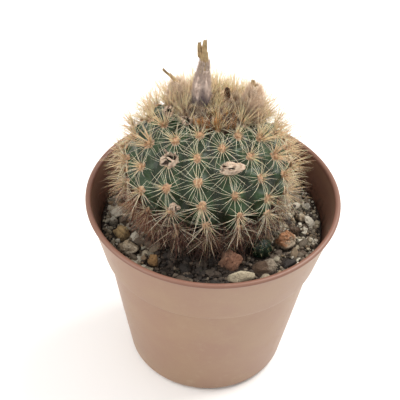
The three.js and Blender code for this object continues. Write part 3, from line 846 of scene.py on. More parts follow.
@dataclass(frozen=True)
class Globe:
    """The leaning, ribbed globe: its sizes in millimetres and its rules for ribs and areoles in degrees."""

    centre: Triple = (-1.7, 2.8, 50.9)
    radius: float = 16.7
    top: float = 14.0
    low: float = 15.6
    low_exponent: float = 1.8
    lean: Triple = (0.082, 0.138, 1.0)
    lowest: float = -60.0
    ribs: int = 15
    rib_phase: float = -1.45
    rib_twist: float = -0.261
    rib_relief: float = 0.3
    tubercle_relief: float = 0.65
    areole_start: float = 0.93
    areole_step: float = 4.53
    areole_stagger: float = 8 / 15
    slip: float = 1.5
    slipped_rib: float = 12.7
    foot_shift: Pair = (-0.7, -1.8)
    foot_radius: float = 8.5

    @property
    def foot(self) -> Triple:
        """Place and radius of the spot where the body enters the soil."""
        return (self.centre[0] + self.foot_shift[0], self.centre[1] + self.foot_shift[1], self.foot_radius)

    @property
    def axes(self) -> Array:
        """Rows: the globe's east, back and up directions."""
        return leaning_axes(self.lean)

    def profile(self, latitude: Array) -> tuple[Array, Array]:
        """Radius and height on the bare globe: an ellipse above, drawn in to a narrow foot below.

        Args:
            latitude: degrees above the equator.

        Returns:
            The radii and the heights.
        """
        angle = np.radians(np.clip(latitude, -90, 90))
        power = 2 / self.low_exponent
        cosine, sine = np.clip(np.cos(angle), 0, 1), np.sin(angle)
        upper = (self.radius * cosine, self.top * sine)
        lower = (self.radius * cosine ** power, -self.low * np.clip(-sine, 0, 1) ** power)
        return tuple(np.where(latitude >= 0, high, low) for high, low in zip(upper, lower))

    def slope(self, latitude: Array) -> tuple[Array, Array]:
        """Outward and upward parts of the bare globe's normal, from points half a degree to each side."""
        r0, z0 = self.profile(np.maximum(latitude - 0.5, -89))
        r1, z1 = self.profile(np.minimum(latitude + 0.5, 90))
        length = np.hypot(r1 - r0, z1 - z0)
        return (z1 - z0) / length, (r0 - r1) / length

    def fade(self, latitude: Array) -> Array:
        """How strong the relief is: it dies away into the soil and under the crown's wool."""
        high = (1 - 0.75 * smoothstep(latitude, 56, 76)) * (1 - smoothstep(latitude, 82, 90))
        return smoothstep(latitude, -58, -34) * high

    def arcs(self) -> tuple[Array, Array]:
        """Latitudes, and how far up the globe's side from its equator each one lies."""
        latitude = np.linspace(-80, 90, 341)
        radius, height = self.profile(latitude)
        arc = np.append(0, np.cumsum(np.hypot(np.diff(radius), np.diff(height))))
        return latitude, arc - np.interp(0, latitude, arc)

    def first_areole(self, rib: Array) -> Array:
        """How far up its rib an areole near the equator lies; some ribs have slipped down a little."""
        near = np.maximum(0, np.cos(2 * np.pi * (rib - self.slipped_rib) / self.ribs)) ** 8
        return self.areole_start + rib * self.areole_stagger % 1 * self.areole_step - self.slip * near

    def waves(self, rib: Array, latitude: Array) -> tuple[Array, Array]:
        """The rib wave and the tubercle wave, each from -1 to 1.

        Args:
            rib: the place round the globe, in ribs.
            latitude: degrees above the equator.

        Returns:
            The two waves.
        """
        nearest = np.round(rib)
        crest = np.cos(2 * np.pi * (rib - nearest))
        arc = np.interp(latitude, *self.arcs())
        row = (arc - self.first_areole(nearest % self.ribs)) / self.areole_step
        return crest, np.cos(2 * np.pi * row) * (0.5 + 0.5 * crest)

    def relief(self, rib: Array, latitude: Array) -> Array:
        """Height of ribs and tubercles over the bare globe."""
        crest, knob = self.waves(rib, latitude)
        return self.fade(latitude) * (self.rib_relief * crest + self.tubercle_relief * knob)

    def place(self, longitude: Array, latitude: Array, lift: Array | float) -> tuple[Array, Array]:
        """Points over the globe and their outward normals.

        Args:
            longitude: degrees from the front, growing towards +X.
            latitude: degrees above the equator.
            lift: height over the bare globe.

        Returns:
            The points and the normals, in the pot's frame.
        """
        radius, height = self.profile(latitude)
        outward, upward = self.slope(latitude)
        angle = np.radians(longitude)
        local = round_z(radius + lift * outward, angle, height + lift * upward)
        return self.world(local), round_z(outward, angle, upward) @ self.axes

    def world(self, local: Array) -> Array:
        """Points of the globe's own upright frame in the pot's frame."""
        return local @ self.axes + np.array(self.centre)

    def downhill(self, normals: Array) -> tuple[Array, Array]:
        """Directions down the globe's side and across it, square to each normal."""
        down = -self.axes[2]
        down = unit(down - normals * (normals @ down)[..., None])
        return down, np.cross(normals, down)


GLOBE = Globe()


@dataclass
class Areoles:
    """Every areole's rib, latitude, place and local directions, and how far it faces from the front."""

    lowest: float = -50.0
    highest: float = 70.0

    def __post_init__(self) -> None:
        """Works out the lattice: rows a step apart on each rib, each rib shifted by the stagger."""
        globe = GLOBE
        grids = np.meshgrid(np.arange(globe.ribs), np.arange(-5, 6), indexing="ij")
        rib, row = [grid.ravel() for grid in grids]
        latitudes, arcs = globe.arcs()
        latitude = np.interp(globe.first_areole(rib) + row * globe.areole_step, arcs, latitudes)
        kept = (latitude > self.lowest) & (latitude < self.highest)
        self.rib, self.latitude = rib[kept], latitude[kept]
        self.longitude = globe.rib_phase + self.rib * 360 / globe.ribs + globe.rib_twist * self.latitude
        lift = globe.relief(self.rib.astype(float), self.latitude)
        self.points, self.normals = globe.place(self.longitude, self.latitude, lift)
        self.down, self.side = globe.downhill(self.normals)
        shoulder = smoothstep(self.latitude, 12, 45)
        turned_away = -np.cos(np.radians(self.longitude)) + 0.8 + 0.12 * shoulder
        self.flank = smoothstep(turned_away / (0.55 - 0.2 * shoulder), 0, 1)

    def __len__(self) -> int:
        """How many areoles there are."""
        return len(self.rib)


# The pieces

def outside(points: Array, balls: Sequence[Ball]) -> Array:
    """Which points lie outside every ball of a middle and a radius.

    Args:
        points: places in the pot's frame.
        balls: the balls.

    Returns:
        True for each point that is free of all.
    """
    free = np.ones(len(points), bool)
    for middle, radius in balls:
        free &= np.linalg.norm(points - middle, axis=1) > radius
    return free


@dataclass
class NurseryPot:
    """The tapered pot with its collar, lip, foot ring and drain holes."""

    height: float = 45.0
    rim_radius: float = 27.5
    lip_height: float = 0.8
    lip_width: float = 1.2
    collar_top: float = 27.0
    collar_foot: float = 23.8
    collar_height: float = 13.5
    body_top: float = 22.9
    base_radius: float = 17.5
    wall: float = 0.75
    edge: float = 1.2
    foot_height: float = 1.2
    foot_width: float = 2.4
    drain_radius: float = 1.9
    drain_ring: float = 10.5
    drains: int = 6
    columns: int = 200

    @property
    def fold(self) -> float:
        """Height where the collar steps in to the body."""
        return self.height - self.collar_height

    @property
    def floor(self) -> float:
        """Height of the floor's top."""
        return self.foot_height + self.wall + 0.1

    def inner_radius(self, height: float) -> float:
        """Radius of the wall's inner face at a height."""
        fold = self.fold
        if height > fold:
            share = (height - fold) / (self.collar_height - self.lip_height)
            return self.collar_foot + (self.collar_top - self.collar_foot) * share - self.wall
        return self.base_radius + (self.body_top - self.base_radius) * height / fold - self.wall

    def corners(self) -> Array:
        """The section's corners, from the underside's middle out, up, over the lip and down inside."""
        fold, floor, lip = self.fold, self.floor, self.height - self.lip_height
        foot_inner = self.base_radius - self.edge - self.foot_width
        base_side = self.base_radius + (self.body_top - self.base_radius) * self.edge / fold
        return np.array([
            (0.01, self.foot_height), (foot_inner - 0.3, self.foot_height), (foot_inner, 0),
            (self.base_radius - self.edge, 0), (self.base_radius - 0.3 * self.edge, 0.3 * self.edge),
            (base_side, self.edge), (self.body_top, fold - 0.5), (self.collar_foot, fold),
            (self.collar_top, lip), (self.rim_radius, lip + 0.15), (self.rim_radius, self.height - 0.35),
            (self.rim_radius - 0.35, self.height), (self.rim_radius - self.lip_width + 0.3, self.height),
            (self.inner_radius(lip), lip + 0.5), (self.inner_radius(fold + 0.01), fold - 0.2),
            (self.inner_radius(fold - 0.7), fold - 0.7),
            (self.inner_radius(floor + self.edge), floor + self.edge),
            (self.inner_radius(floor) - self.edge, floor), (0.01, floor),
        ])

    def shell(self) -> Surface:
        """The wall, turned from its eased section, with the slight waviness of thin moulding."""
        profile = rounded_profile(self.corners(), 0.35, 1.6)
        rings = turned(profile, self.columns)
        top = int(np.argmax(profile[:, 1] + 0.001 * profile[:, 0]))
        outer = (np.arange(len(profile)) <= top).astype(float)[:, None] * np.ones(self.columns)
        angle = full_turn(self.columns)
        give = smoothstep(profile[:, 1], 12, 44)[:, None]
        wave = 1 + give * (-0.003 + 0.0022 * np.cos(2 * angle + 0.6) + 0.0008 * np.cos(3 * angle + 2))
        rings[..., :2] *= wave[..., None]
        return closed_rings(rings[1:-1], {"outside": outer[1:-1]}, rings[0].mean(0), rings[-1].mean(0))

    def cut_drains(self, pot: bpy.types.Object) -> None:
        """Cuts the drain holes out of the floor with plain round cutters.

        Args:
            pot: the pot's mesh object.
        """
        angles = (np.arange(self.drains) + 0.5) * 2 * np.pi / self.drains
        ring = self.drain_ring * np.stack([np.cos(angles), np.sin(angles)], -1)
        post = closed_rings(turned(np.array([(self.drain_radius, -1.0), (self.drain_radius, 4.0)]), 36))
        posts = Surface.joined([
            Surface(post.points + [x, y, 0], post.quads, post.triangles) for x, y in [(0, 0), *ring]
        ])
        mesh = bpy.data.meshes.new("drain_cutter")
        faces = posts.quads.tolist() + posts.triangles.tolist()
        mesh.from_pydata((posts.points * MM).tolist(), [], faces)
        cutter = placed("drain_cutter", mesh)
        cut = pot.modifiers.new("drains", "BOOLEAN")
        cut.object = cutter
        cut.operation = "DIFFERENCE"
        cut.solver = "EXACT"
        graph = bpy.context.evaluated_depsgraph_get()
        whole = bpy.data.meshes.new_from_object(pot.evaluated_get(graph), depsgraph=graph)
        pot.modifiers.remove(cut)
        whole.name = pot.data.name
        old, pot.data = pot.data, whole
        bpy.data.meshes.remove(old)
        bpy.data.objects.remove(cutter)

    def build(self) -> None:
        """Makes and dresses the pot."""
        pot = make_piece("nursery_pot", self.shell(), PotPlastic().material())
        self.cut_drains(pot)
        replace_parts(pot, "pot")


@dataclass(frozen=True)
class Grade:
    """One size of loose grains: how many, smallest and largest width, draw, and rings of a grain's mesh.

    The spread is how far over the soil they may ride on each other.
    """

    name: str
    count: int
    sizes: Pair
    seed: int
    spread: float
    mesh: tuple[int, int] = (2, 5)


@dataclass
class SoilBed:
    """The gritty mix that fills the pot, with its loose grains."""

    pot: NurseryPot
    level: float = SOIL_LEVEL
    clearance: float = 0.3
    lumps: Pairs = ((4.2, 0.28), (1.3, 0.14))
    rings: int = 90
    columns: int = 260
    grades: tuple[Grade, ...] = (
        Grade("grit_coarse", 620, (1.3, 3.0), 11, 0.4, (6, 10)),
        Grade("grit_medium", 2900, (0.6, 1.3), 12, 0.5),
        Grade("grit_fine", 4600, (0.28, 0.65), 13, 0.35),
    )
    kinds: int = 8
    keep_out: list[Triple] = field(default_factory=list)

    @property
    def radius(self) -> float:
        """Radius of the soil's top."""
        return self.pot.inner_radius(self.level) - self.clearance

    def height(self, x: Array, y: Array) -> Array:
        """Height of the lumpy top."""
        return self.level - 0.25 + lumpy(np.stack([x, y, 0 * x], -1), self.lumps, 3)

    @staticmethod
    def gravelly(places: Array) -> Array:
        """How much pale gravel lies at each place: 0 in front, under the body, where the grains are also
        kept dark as painted shade, and 1 at the sides and the back.
        """
        side = smoothstep(np.abs(places[:, 0] + 0.5), 8, 16)
        return np.maximum(side, smoothstep(places[:, 1], -4, 8))

    def body(self) -> Surface:
        """The whole fill: a plain side that follows the pot and a lumpy top."""
        pot, gap = self.pot, self.clearance
        fold, floor = pot.fold, pot.floor
        side = np.array([
            (0.01, floor + gap), (pot.inner_radius(floor) - pot.edge - gap, floor + gap),
            (pot.inner_radius(floor + pot.edge) - gap, floor + pot.edge + gap),
            (pot.inner_radius(fold - 0.7) - gap, fold - 0.4), (self.radius - 0.1, self.level - 0.6),
        ])
        rings = turned(rounded_profile(side, 0.6, 3.0), self.columns)
        spread = np.linspace(self.radius - 0.15, 0.3, self.rings)
        top = turned(np.stack([spread, spread * 0 + self.level], -1), self.columns)
        top[..., 2] = self.height(top[..., 0], top[..., 1])
        return closed_rings(np.concatenate([rings[1:], top]), bottom=(floor + gap) * UPRIGHT)

    def scattered(self, count: int, reach: float, seed: int) -> Array:
        """Draws places for grains on the top; big grains are rarer in front.

        Args:
            count: how many at most.
            reach: a grain's width, which keeps it off the body, the pebbles and the wall.
            seed: which draw.

        Returns:
            Their X and Y.
        """
        rng = default_rng(seed)
        tries = rng.uniform(-1, 1, (count * 8, 2)) * (self.radius - 0.75 * reach)
        kept = np.hypot(tries[:, 0], tries[:, 1]) < self.radius - 0.75 * reach
        kept &= rng.uniform(size=len(tries)) < 1 - min(0.3 * reach, 0.75) * (1 - self.gravelly(tries))
        for x, y, radius in self.keep_out:
            kept &= np.hypot(tries[:, 0] - x, tries[:, 1] - y) > radius + 0.3 * reach
        return tries[kept][:count]

    def grains(self, grade: Grade) -> Surface:
        """Many small faceted grains, each one of a few stone shapes, squashed, turned and half sunk.

        Args:
            grade: their sizes and number.

        Returns:
            One surface, marked with each grain's tone.
        """
        rng = default_rng(grade.seed)
        smallest, largest = grade.sizes
        places = self.scattered(grade.count, largest, grade.seed + 1)
        count = len(places)
        shapes = [stone_rings(grade.seed + 9 * kind, 7, *grade.mesh, 0.07) for kind in range(self.kinds)]
        local = np.stack([np.concatenate([rings.reshape(-1, 3), ends]) for rings, ends in shapes])
        blank = closed_rings(shapes[0][0])
        width = rng.uniform(0, 1, count) ** 1.7 * (largest - smallest) + smallest
        scale = width[:, None] / 2 * rng.uniform([0.85, 0.65, 0.5], [1.15, 1.05, 0.9], (count, 3))
        axis = unit(rng.normal(size=(count, 3)))
        angle = rng.uniform(-1.1, 1.1, count)
        spin = rng.uniform(0, TURN, count)
        points = local[rng.integers(0, self.kinds, count)] * scale[:, None]
        points = turned_about(points, UPRIGHT + 0 * axis, spin)
        points = turned_about(points, axis, angle * 0.5)
        height = self.height(places[:, 0], places[:, 1]) + rng.uniform(0.05, 0.35, count) * width
        centre = np.column_stack([places, height + grade.spread * rng.uniform(0, 1, count) ** 2])
        per = points.shape[1]
        starts = np.arange(count)[:, None, None] * per
        # Painted light and shade: grains in front, under the body, stay darker as painted shade; at the
        # sides and the back they are paler, partly as the gravel's own colour and partly as painted light,
        # and the left gets extra painted light.
        gravel = self.gravelly(places)
        gravel_and_side_light = (0.3 + 0.1 * (places[:, 0] < 0)) * gravel
        tone = np.clip(rng.beta(1.4, 1.7, count) * (0.64 + 0.28 * gravel) + gravel_and_side_light, 0, 1)
        return Surface(
            (points + centre[:, None]).reshape(-1, 3),
            (blank.quads[None] + starts).reshape(-1, 4),
            (blank.triangles[None] + starts).reshape(-1, 3),
            {"tone": np.repeat(tone, per)},
        )

    def build(self) -> None:
        """Makes and dresses the soil and its grains."""
        bed = make_piece("soil_bed", self.body(), Loam().material())
        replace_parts(bed, "soil")
        grit = Grit().material()
        for grade in self.grades:
            make_piece(grade.name, self.grains(grade), grit, smooth=False)


def turned_about(points: Array, axis: Array, angle: Array) -> Array:
    """Groups of points turned by Rodrigues' formula.

    Args:
        points: an array of groups, points and 3.
        axis: a unit vector for each group.
        angle: how far each group turns, in radians.

    Returns:
        The turned points.
    """
    axis, angle = axis[:, None], angle[:, None, None]
    across = np.cross(np.broadcast_to(axis, points.shape), points)
    along = (points * axis).sum(-1, keepdims=True) * axis
    return points * np.cos(angle) + across * np.sin(angle) + along * (1 - np.cos(angle))


@dataclass
class Pebbles:
    """The larger loose stones, each in the place of its solid.

    Each row: kind, turn in degrees, width over length, roughness, and the way its second colour lies.
    """

    rows: dict[str, tuple[StoneKind, float, float, float, Triple]] = field(default_factory=lambda: {
        "pebble_01": (StoneKind.RUST, 10, 0.85, 0.1, (-0.3, -0.2, 0.9)),
        "pebble_02": (StoneKind.BROWN, 25, 0.76, 0.06, (1.0, -0.2, 0.1)),
        "pebble_03": (StoneKind.PALE, 8, 0.54, 0.03, (0.0, 0.5, 0.5)),
        "pebble_04": (StoneKind.RED, 5, 0.63, 0.11, (-0.5, 0.2, 0.4)),
        "pebble_05": (StoneKind.OCHRE, 40, 1.0, 0.06, (1.0, -0.3, -0.2)),
        "pebble_06": (StoneKind.BUFF, -30, 0.83, 0.08, (-0.4, 0.0, -0.5)),
        "pebble_07": (StoneKind.BEIGE, -35, 0.71, 0.12, (0.3, -0.5, 0.2)),
        "pebble_08": (StoneKind.BEIGE, 15, 0.87, 0.08, (0.2, 0.4, 0.5)),
        "pebble_09": (StoneKind.BROWN, 60, 0.87, 0.08, (0.0, 0.2, 0.3)),
        "pebble_10": (StoneKind.DARK, 35, 0.68, 0.06, (0.0, 0.2, 0.3)),
        "pebble_11": (StoneKind.CHALK, 75, 0.88, 0.05, (0.2, 0.2, 0.4)),
        "pebble_12": (StoneKind.CHALK, 80, 0.88, 0.05, (0.2, -0.2, 0.4)),
        "pebble_13": (StoneKind.GREY, 50, 0.81, 0.07, (0.3, 0.3, 0.2)),
        "pebble_14": (StoneKind.BROWN, 5, 0.72, 0.06, (-0.3, 0.3, 0.1)),
        "pebble_15": (StoneKind.BUFF, -50, 0.84, 0.08, (0.3, 0.2, -0.4)),
    })
    first_seed: int = 40

    def keep_out(self) -> list[Triple]:
        """Each pebble's place and radius on the soil."""
        boxes = [node_box(node) for node in self.rows]
        return [(middle[0], middle[1], 0.98 * float(half[:2].mean())) for middle, half in boxes]

    @staticmethod
    def stone(node: str, seed: int, turn: float, slim: float, rough: float, side: Triple) -> Surface:
        """One stone, slimmed, turned and fitted to its solid's box.

        Args:
            node: its solid.
            seed: which shape.
            turn: degrees about the upright.
            slim: width over length.
            rough: how lumpy.
            side: the way its second colour lies.

        Returns:
            The stone, marked with how far each point lies to that side.
        """
        rings, poles = stone_rings(seed, 10, 56, 88, rough)
        cosine, sine = math.cos(math.radians(turn)), math.sin(math.radians(turn))
        spin = np.array([[cosine, sine, 0], [-sine, cosine, 0], [0, 0, 1]])
        points = fitted(np.concatenate([rings.reshape(-1, 3), poles]) * [1, slim, 1] @ spin, node)
        parted = {"side": rings @ np.array(side)}
        return closed_rings(points[:-2].reshape(rings.shape), parted, points[-2], points[-1])

    def build(self) -> None:
        """Makes and dresses the pebbles."""
        finishes = {kind: Stone(kind).material() for kind in StoneKind}
        for number, (node, (kind, *look)) in enumerate(self.rows.items()):
            stone = self.stone(node, self.first_seed + number, *look)
            piece = make_piece(f"{node}_stone", stone, finishes[kind])
            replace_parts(piece, node)


@dataclass
class CactusBody:
    """The ribbed, tubercled green body with its taproot."""

    per_rib: int = 22
    rows: int = 200
    root: Pairs = (
        (0.6, -31.6), (2.2, -28.0), (3.1, -22.0), (3.8, -18.6), (6.4, -15.6),
    )
    root_tip: float = -32.0
    crease: float = 0.22
    lumps: Pairs = ((2.6, 0.09), (0.8, 0.03))

    def skin(self) -> Surface:
        """The skin: the globe's relief, sharper grooves between the ribs and fine unevenness."""
        globe = GLOBE
        columns = globe.ribs * self.per_rib
        latitude = np.linspace(globe.lowest, 88.6, self.rows)[:, None]
        rib = np.arange(columns)[None] / self.per_rib
        longitude = globe.rib_phase + rib * 360 / globe.ribs + globe.rib_twist * latitude
        crest, knob = globe.waves(rib, latitude)
        fade = globe.fade(latitude)
        crease = self.crease * np.exp(-((1 + crest) / 0.16) ** 2) * (0.6 + 0.4 * np.cos(rib * 9))
        lift = globe.relief(rib, latitude) - fade * crease
        points, normals = globe.place(longitude, latitude, lift)
        points = points + normals * (lumpy(points, self.lumps, 21) * fade)[..., None]
        angle = np.radians(globe.rib_phase + rib * 360 / globe.ribs + globe.rib_twist * globe.lowest)
        profile = np.array(self.root)
        stem = globe.world(round_z(profile[:, :1], angle, profile[:, 1:]))
        tip = globe.world(self.root_tip * UPRIGHT)
        blank = np.zeros((len(profile), columns))
        marks = {
            "crest": np.concatenate([blank, 0.5 + 0.5 * crest * np.maximum(fade, 0.2)]),
            "knob": np.concatenate([blank, (0.5 + 0.5 * knob) * fade]),
            "upward": np.concatenate([blank, np.clip(normals[..., 2], 0, 1)]),
        }
        return closed_rings(np.concatenate([stem, points]), marks, bottom=tip)

    def build(self) -> None:
        """Makes and dresses the body."""
        body = make_piece("cactus_body", self.skin(), Skin().material())
        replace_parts(body, "cactus_stem")


@dataclass
class SpineCoat:
    """Areole cushions and every spine: radials, centrals, and the long worn ones near the soil.

    No spine stands in the balls round the husks, and no central one points into the pushed balls.
    """

    areoles: Areoles = field(default_factory=Areoles)
    cushion_radius: float = 0.84
    cushion_height: float = 0.45
    hairs: int = 60
    hair_radius: float = 0.03
    radials: int = 22
    radial_length: float = 5.4
    radial_radius: float = 0.047
    centrals: int = 8
    flank_centrals: int = 42
    central_length: float = 2.9
    central_radius: float = 0.058
    hanging: int = 9
    hanging_reach: float = 4.0
    hanging_radius: float = 0.062
    worn_reach: float = -4.0
    worn_radius: float = 0.058
    worn: int = 24
    loose: int = 3300
    seed: int = 70
    husks: list[Ball] = field(default_factory=list)
    pushed: list[Ball] = field(default_factory=list)

    def cushions(self) -> Surface:
        """Low domes h = height (1 - r squared), lumpy, with their edges sunk into the skin."""
        ring, columns = np.linspace(1.0, 0.12, 6), 14
        spin = full_turn(columns)[:, None]
        rng = default_rng(self.seed)
        spots = self.areoles
        count = len(spots)
        bare = np.flatnonzero(outside(spots.points + spots.normals, self.husks))
        wide = (self.cushion_radius * rng.uniform(0.85, 1.15, count))[:, None, None]
        tall = (self.cushion_height * rng.uniform(0.8, 1.3, count))[:, None, None]
        lumps = 1 + 0.16 * rng.normal(size=(count, len(ring), columns))
        reach = (wide * ring[None, :, None] * lumps)[..., None]
        sunk = 0.1 + 0.35 * (ring == 1.0)[None, :, None]
        rise = (tall * (1 - ring[None, :, None] ** 2) * lumps - sunk)[..., None]
        side, down = spots.side[:, None, None], spots.down[:, None, None]
        across = np.cos(spin) * side - 1.15 * np.sin(spin) * down
        rings = spots.points[:, None, None] + reach * across + rise * spots.normals[:, None, None]
        low = spots.points - 0.6 * spots.normals
        high = spots.points + (tall[:, 0] * 1.05 - 0.1) * spots.normals
        plain = {"tone": np.zeros((len(ring), columns))}
        return Surface.joined([closed_rings(rings[one], plain, low[one], high[one]) for one in bare])

    def drawn(self, per: int, seed: int) -> tuple[Generator, Array]:
        """A random source, and each areole's number repeated for its spines or hairs."""
        return default_rng(self.seed + seed), np.repeat(np.arange(len(self.areoles)), per)

    def fan(self, which: Array, turn: Array, lift: Array) -> tuple[Array, Array]:
        """Ways along the skin, by the turn from downhill, and directions at a lift over it."""
        spots = self.areoles
        away = spots.down[which] * np.cos(turn)[:, None] + spots.side[which] * np.sin(turn)[:, None]
        return away, unit(away * np.cos(lift)[:, None] + spots.normals[which] * np.sin(lift)[:, None])

    def wool(self) -> Surface:
        """Short hairs that stand out of each cushion."""
        rng, which = self.drawn(self.hairs, 1)
        count = len(which)
        reach = self.cushion_radius * np.sqrt(rng.uniform(0, 1, count))
        turn = rng.uniform(0, TURN, count)
        away, direction = self.fan(which, turn, np.radians(rng.uniform(25, 85, count)))
        spots = self.areoles
        roots = spots.points[which] + away * reach[:, None] + spots.normals[which] * 0.1
        length = rng.uniform(0.4, 0.9, count)
        bends, tone = rng.normal(0, 0.25, (count, 3)), rng.uniform(0, 0.35, count)
        keep = outside(spots.points[which] + spots.normals[which], self.husks)
        return strands(roots, direction, length, self.hair_radius, bends, 3, 2, tone, SOIL_LEVEL, keep)

    def radial_spines(self) -> Surface:
        """Fine spines combed almost flat round each areole, bowed to the skin, longer on its lower side."""
        rng, which = self.drawn(self.radials, 2)
        count = len(which)
        index = np.tile(np.arange(self.radials), len(self.areoles))
        offset = rng.uniform(0, TURN, len(self.areoles))[which]
        turn = 2 * np.pi * (index + rng.uniform(-0.4, 0.4, count)) / self.radials + offset
        away, direction = self.fan(which, turn, np.radians(rng.uniform(8, 36, count)))
        spots = self.areoles
        normal, latitude = spots.normals[which], spots.latitude[which]
        aged = smoothstep(-latitude, 10, 38)
        longer = 0.84 + 0.12 * (1 + np.cos(turn)) + 0.2 * aged
        length = self.radial_length * rng.uniform(0.7, 1.12, count) * longer
        roots = spots.points[which] + away * 0.4 + normal * 0.04
        sideways = np.cross(normal, away) * rng.normal(0, 0.12, (count, 1))
        bends = sideways - normal * rng.uniform(0.06, 0.26, (count, 1))
        tone = aged * rng.uniform(0.2, 1.0, count) + rng.normal(0.05, 0.1, count)
        free = outside(roots + direction * length[:, None] * 0.35, self.husks)
        keep = (rng.uniform(size=count) > 0.1) & free
        radii = self.radial_radius * rng.uniform(0.75, 1.25, count)
        return strands(roots, direction, length, radii, bends, 4, 4, tone, SOIL_LEVEL, keep)

    def central_spines(self) -> Surface:
        """Golden spines: a short brush on the areoles in front, a long dense one on the flanks."""
        per = self.centrals + self.flank_centrals
        rng, which = self.drawn(per, 3)
        spots = self.areoles
        order = np.tile(np.arange(per), len(spots))
        crowded = spots.flank * (0.75 + 0.25 * smoothstep(spots.latitude, 0, 40))
        crowded = np.maximum(crowded, 0.25 * smoothstep(spots.latitude, 44, 62))
        which = which[order < self.centrals + self.flank_centrals * crowded[which]]
        count = len(which)
        latitude, flank = spots.latitude[which], crowded[which]
        aged, high = smoothstep(-latitude, 8, 36), smoothstep(latitude, 20, 60)
        lift = np.radians(rng.uniform(58, 89, count) - 34 * flank * rng.uniform(0, 1, count))
        away, direction = self.fan(which, rng.uniform(0, TURN, count), lift)
        upward = GLOBE.axes[2] * (0.35 * high * flank)[:, None]
        direction = unit(direction + spots.down[which] * 0.25 * aged[:, None] + upward)
        longer = 1 + (0.85 + 0.3 * high) * flank + 0.25 * aged
        length = self.central_length * rng.uniform(0.55, 1.2, count) * longer
        length *= 1 + 0.45 * flank * (rng.uniform(size=count) > 0.93)
        roots = spots.points[which] + away * 0.45 + spots.normals[which] * 0.08
        bends = rng.normal(0, 0.07, (count, 3))
        tone = np.maximum(aged, 0.6 * flank * (1 - high)) * rng.uniform(0.3, 1.0, count)
        tone = tone + rng.normal(0.1, 0.12, count)
        keep = outside(roots + direction * 1.2, self.husks) & outside(roots + direction * 2.8, self.pushed)
        radii = self.central_radius * rng.uniform(0.75, 1.2, count)
        return strands(roots, direction, length, radii, bends, 4, 4, tone, SOIL_LEVEL, keep)

    def hanging_spines(self) -> Surface:
        """Long pale spines of the lower areoles that droop over the tangle below them."""
        rng = default_rng(self.seed + 4)
        spots = self.areoles
        which = np.repeat(np.flatnonzero(spots.latitude < self.hanging_reach), self.hanging)
        count = len(which)
        turn = rng.normal(0, 1.15, count)
        _, direction = self.fan(which, turn, np.radians(rng.uniform(8, 58, count)))
        length = rng.uniform(3.6, 8.2, count)
        bends = rng.normal(0, 0.08, (count, 3)) - 0.1 * UPRIGHT
        radii = self.hanging_radius * rng.uniform(0.8, 1.2, count)
        tone = rng.uniform(-0.4, 0.8, count)
        return strands(spots.points[which], direction, length, radii, bends, 4, 4, tone, SOIL_LEVEL + 0.1)

    def worn_spines(self) -> Surface:
        """Old, bent, reddish spines: tangled fans of the lower areoles, and loose ones between them."""
        rng = default_rng(self.seed + 5)
        spots = self.areoles
        which = np.repeat(np.flatnonzero(spots.latitude < self.worn_reach), self.worn)
        share = smoothstep(-spots.latitude[which], -self.worn_reach, 40)
        which = which[rng.uniform(size=len(which)) < 0.25 + 0.75 * share]
        count = len(which)
        turn = rng.uniform(-2.3, 2.3, count)
        _, direction = self.fan(which, turn, np.radians(rng.uniform(2, 70, count)))
        roots = spots.points[which] + rng.normal(0, 0.5, (count, 3))
        around, height = rng.uniform(0, 360, self.loose), rng.uniform(-60, -17, self.loose)
        points, normals = GLOBE.place(around, height, 0.3)
        down, side = GLOBE.downhill(normals)
        swing = rng.normal(0, 1.3, (self.loose, 1))
        stray = down * np.cos(swing) + side * np.sin(swing)
        stray = unit(stray + normals * rng.uniform(0.1, 1.5, (self.loose, 1)))
        roots, direction = np.concatenate([roots, points]), np.concatenate([direction, stray])
        direction = unit(direction - 0.2 * UPRIGHT)
        total = len(roots)
        length = rng.uniform(2.4, 7.0, total)
        bends = rng.normal(0, 0.2, (total, 3)) - 0.1 * UPRIGHT
        radii = self.worn_radius * rng.uniform(0.7, 1.3, total)
        tone = rng.uniform(-0.2, 1.1, total)
        return strands(roots, direction, length, radii, bends, 4, 4, tone, SOIL_LEVEL + 0.1)

    def build(self) -> None:
        """Makes and dresses the cushions, their wool and the spines."""
        felt = Wool("areole_wool", "cfa986", "a37a58", "c29676", "8a6144", 0.5).material()
        cream = Spine("cream_spine", "a8794c", "dbd1b4", "cdbf9c", "8f6b50").material()
        golden = Spine("golden_spine", "a67a4c", "e0cea6", "e5d6b2", "c09a7a").material()
        pinkish = Spine("hanging_spine", "80563f", "dbc9af", "e5d6c0", "9a735b").material()
        worn = Spine("worn_spine", "311d18", "644435", "a07f69", "2f1d18").material()
        pieces = [
            make_piece("areole_cushions", self.cushions(), felt),
            make_piece("areole_hairs", self.wool(), felt),
            make_piece("radial_spines", self.radial_spines(), cream),
            make_piece("central_spines", self.central_spines(), golden),
            make_piece("hanging_spines", self.hanging_spines(), pinkish),
            make_piece("worn_spines", self.worn_spines(), worn),
        ]
        for piece in pieces:
            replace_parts(piece, "cactus_stem")


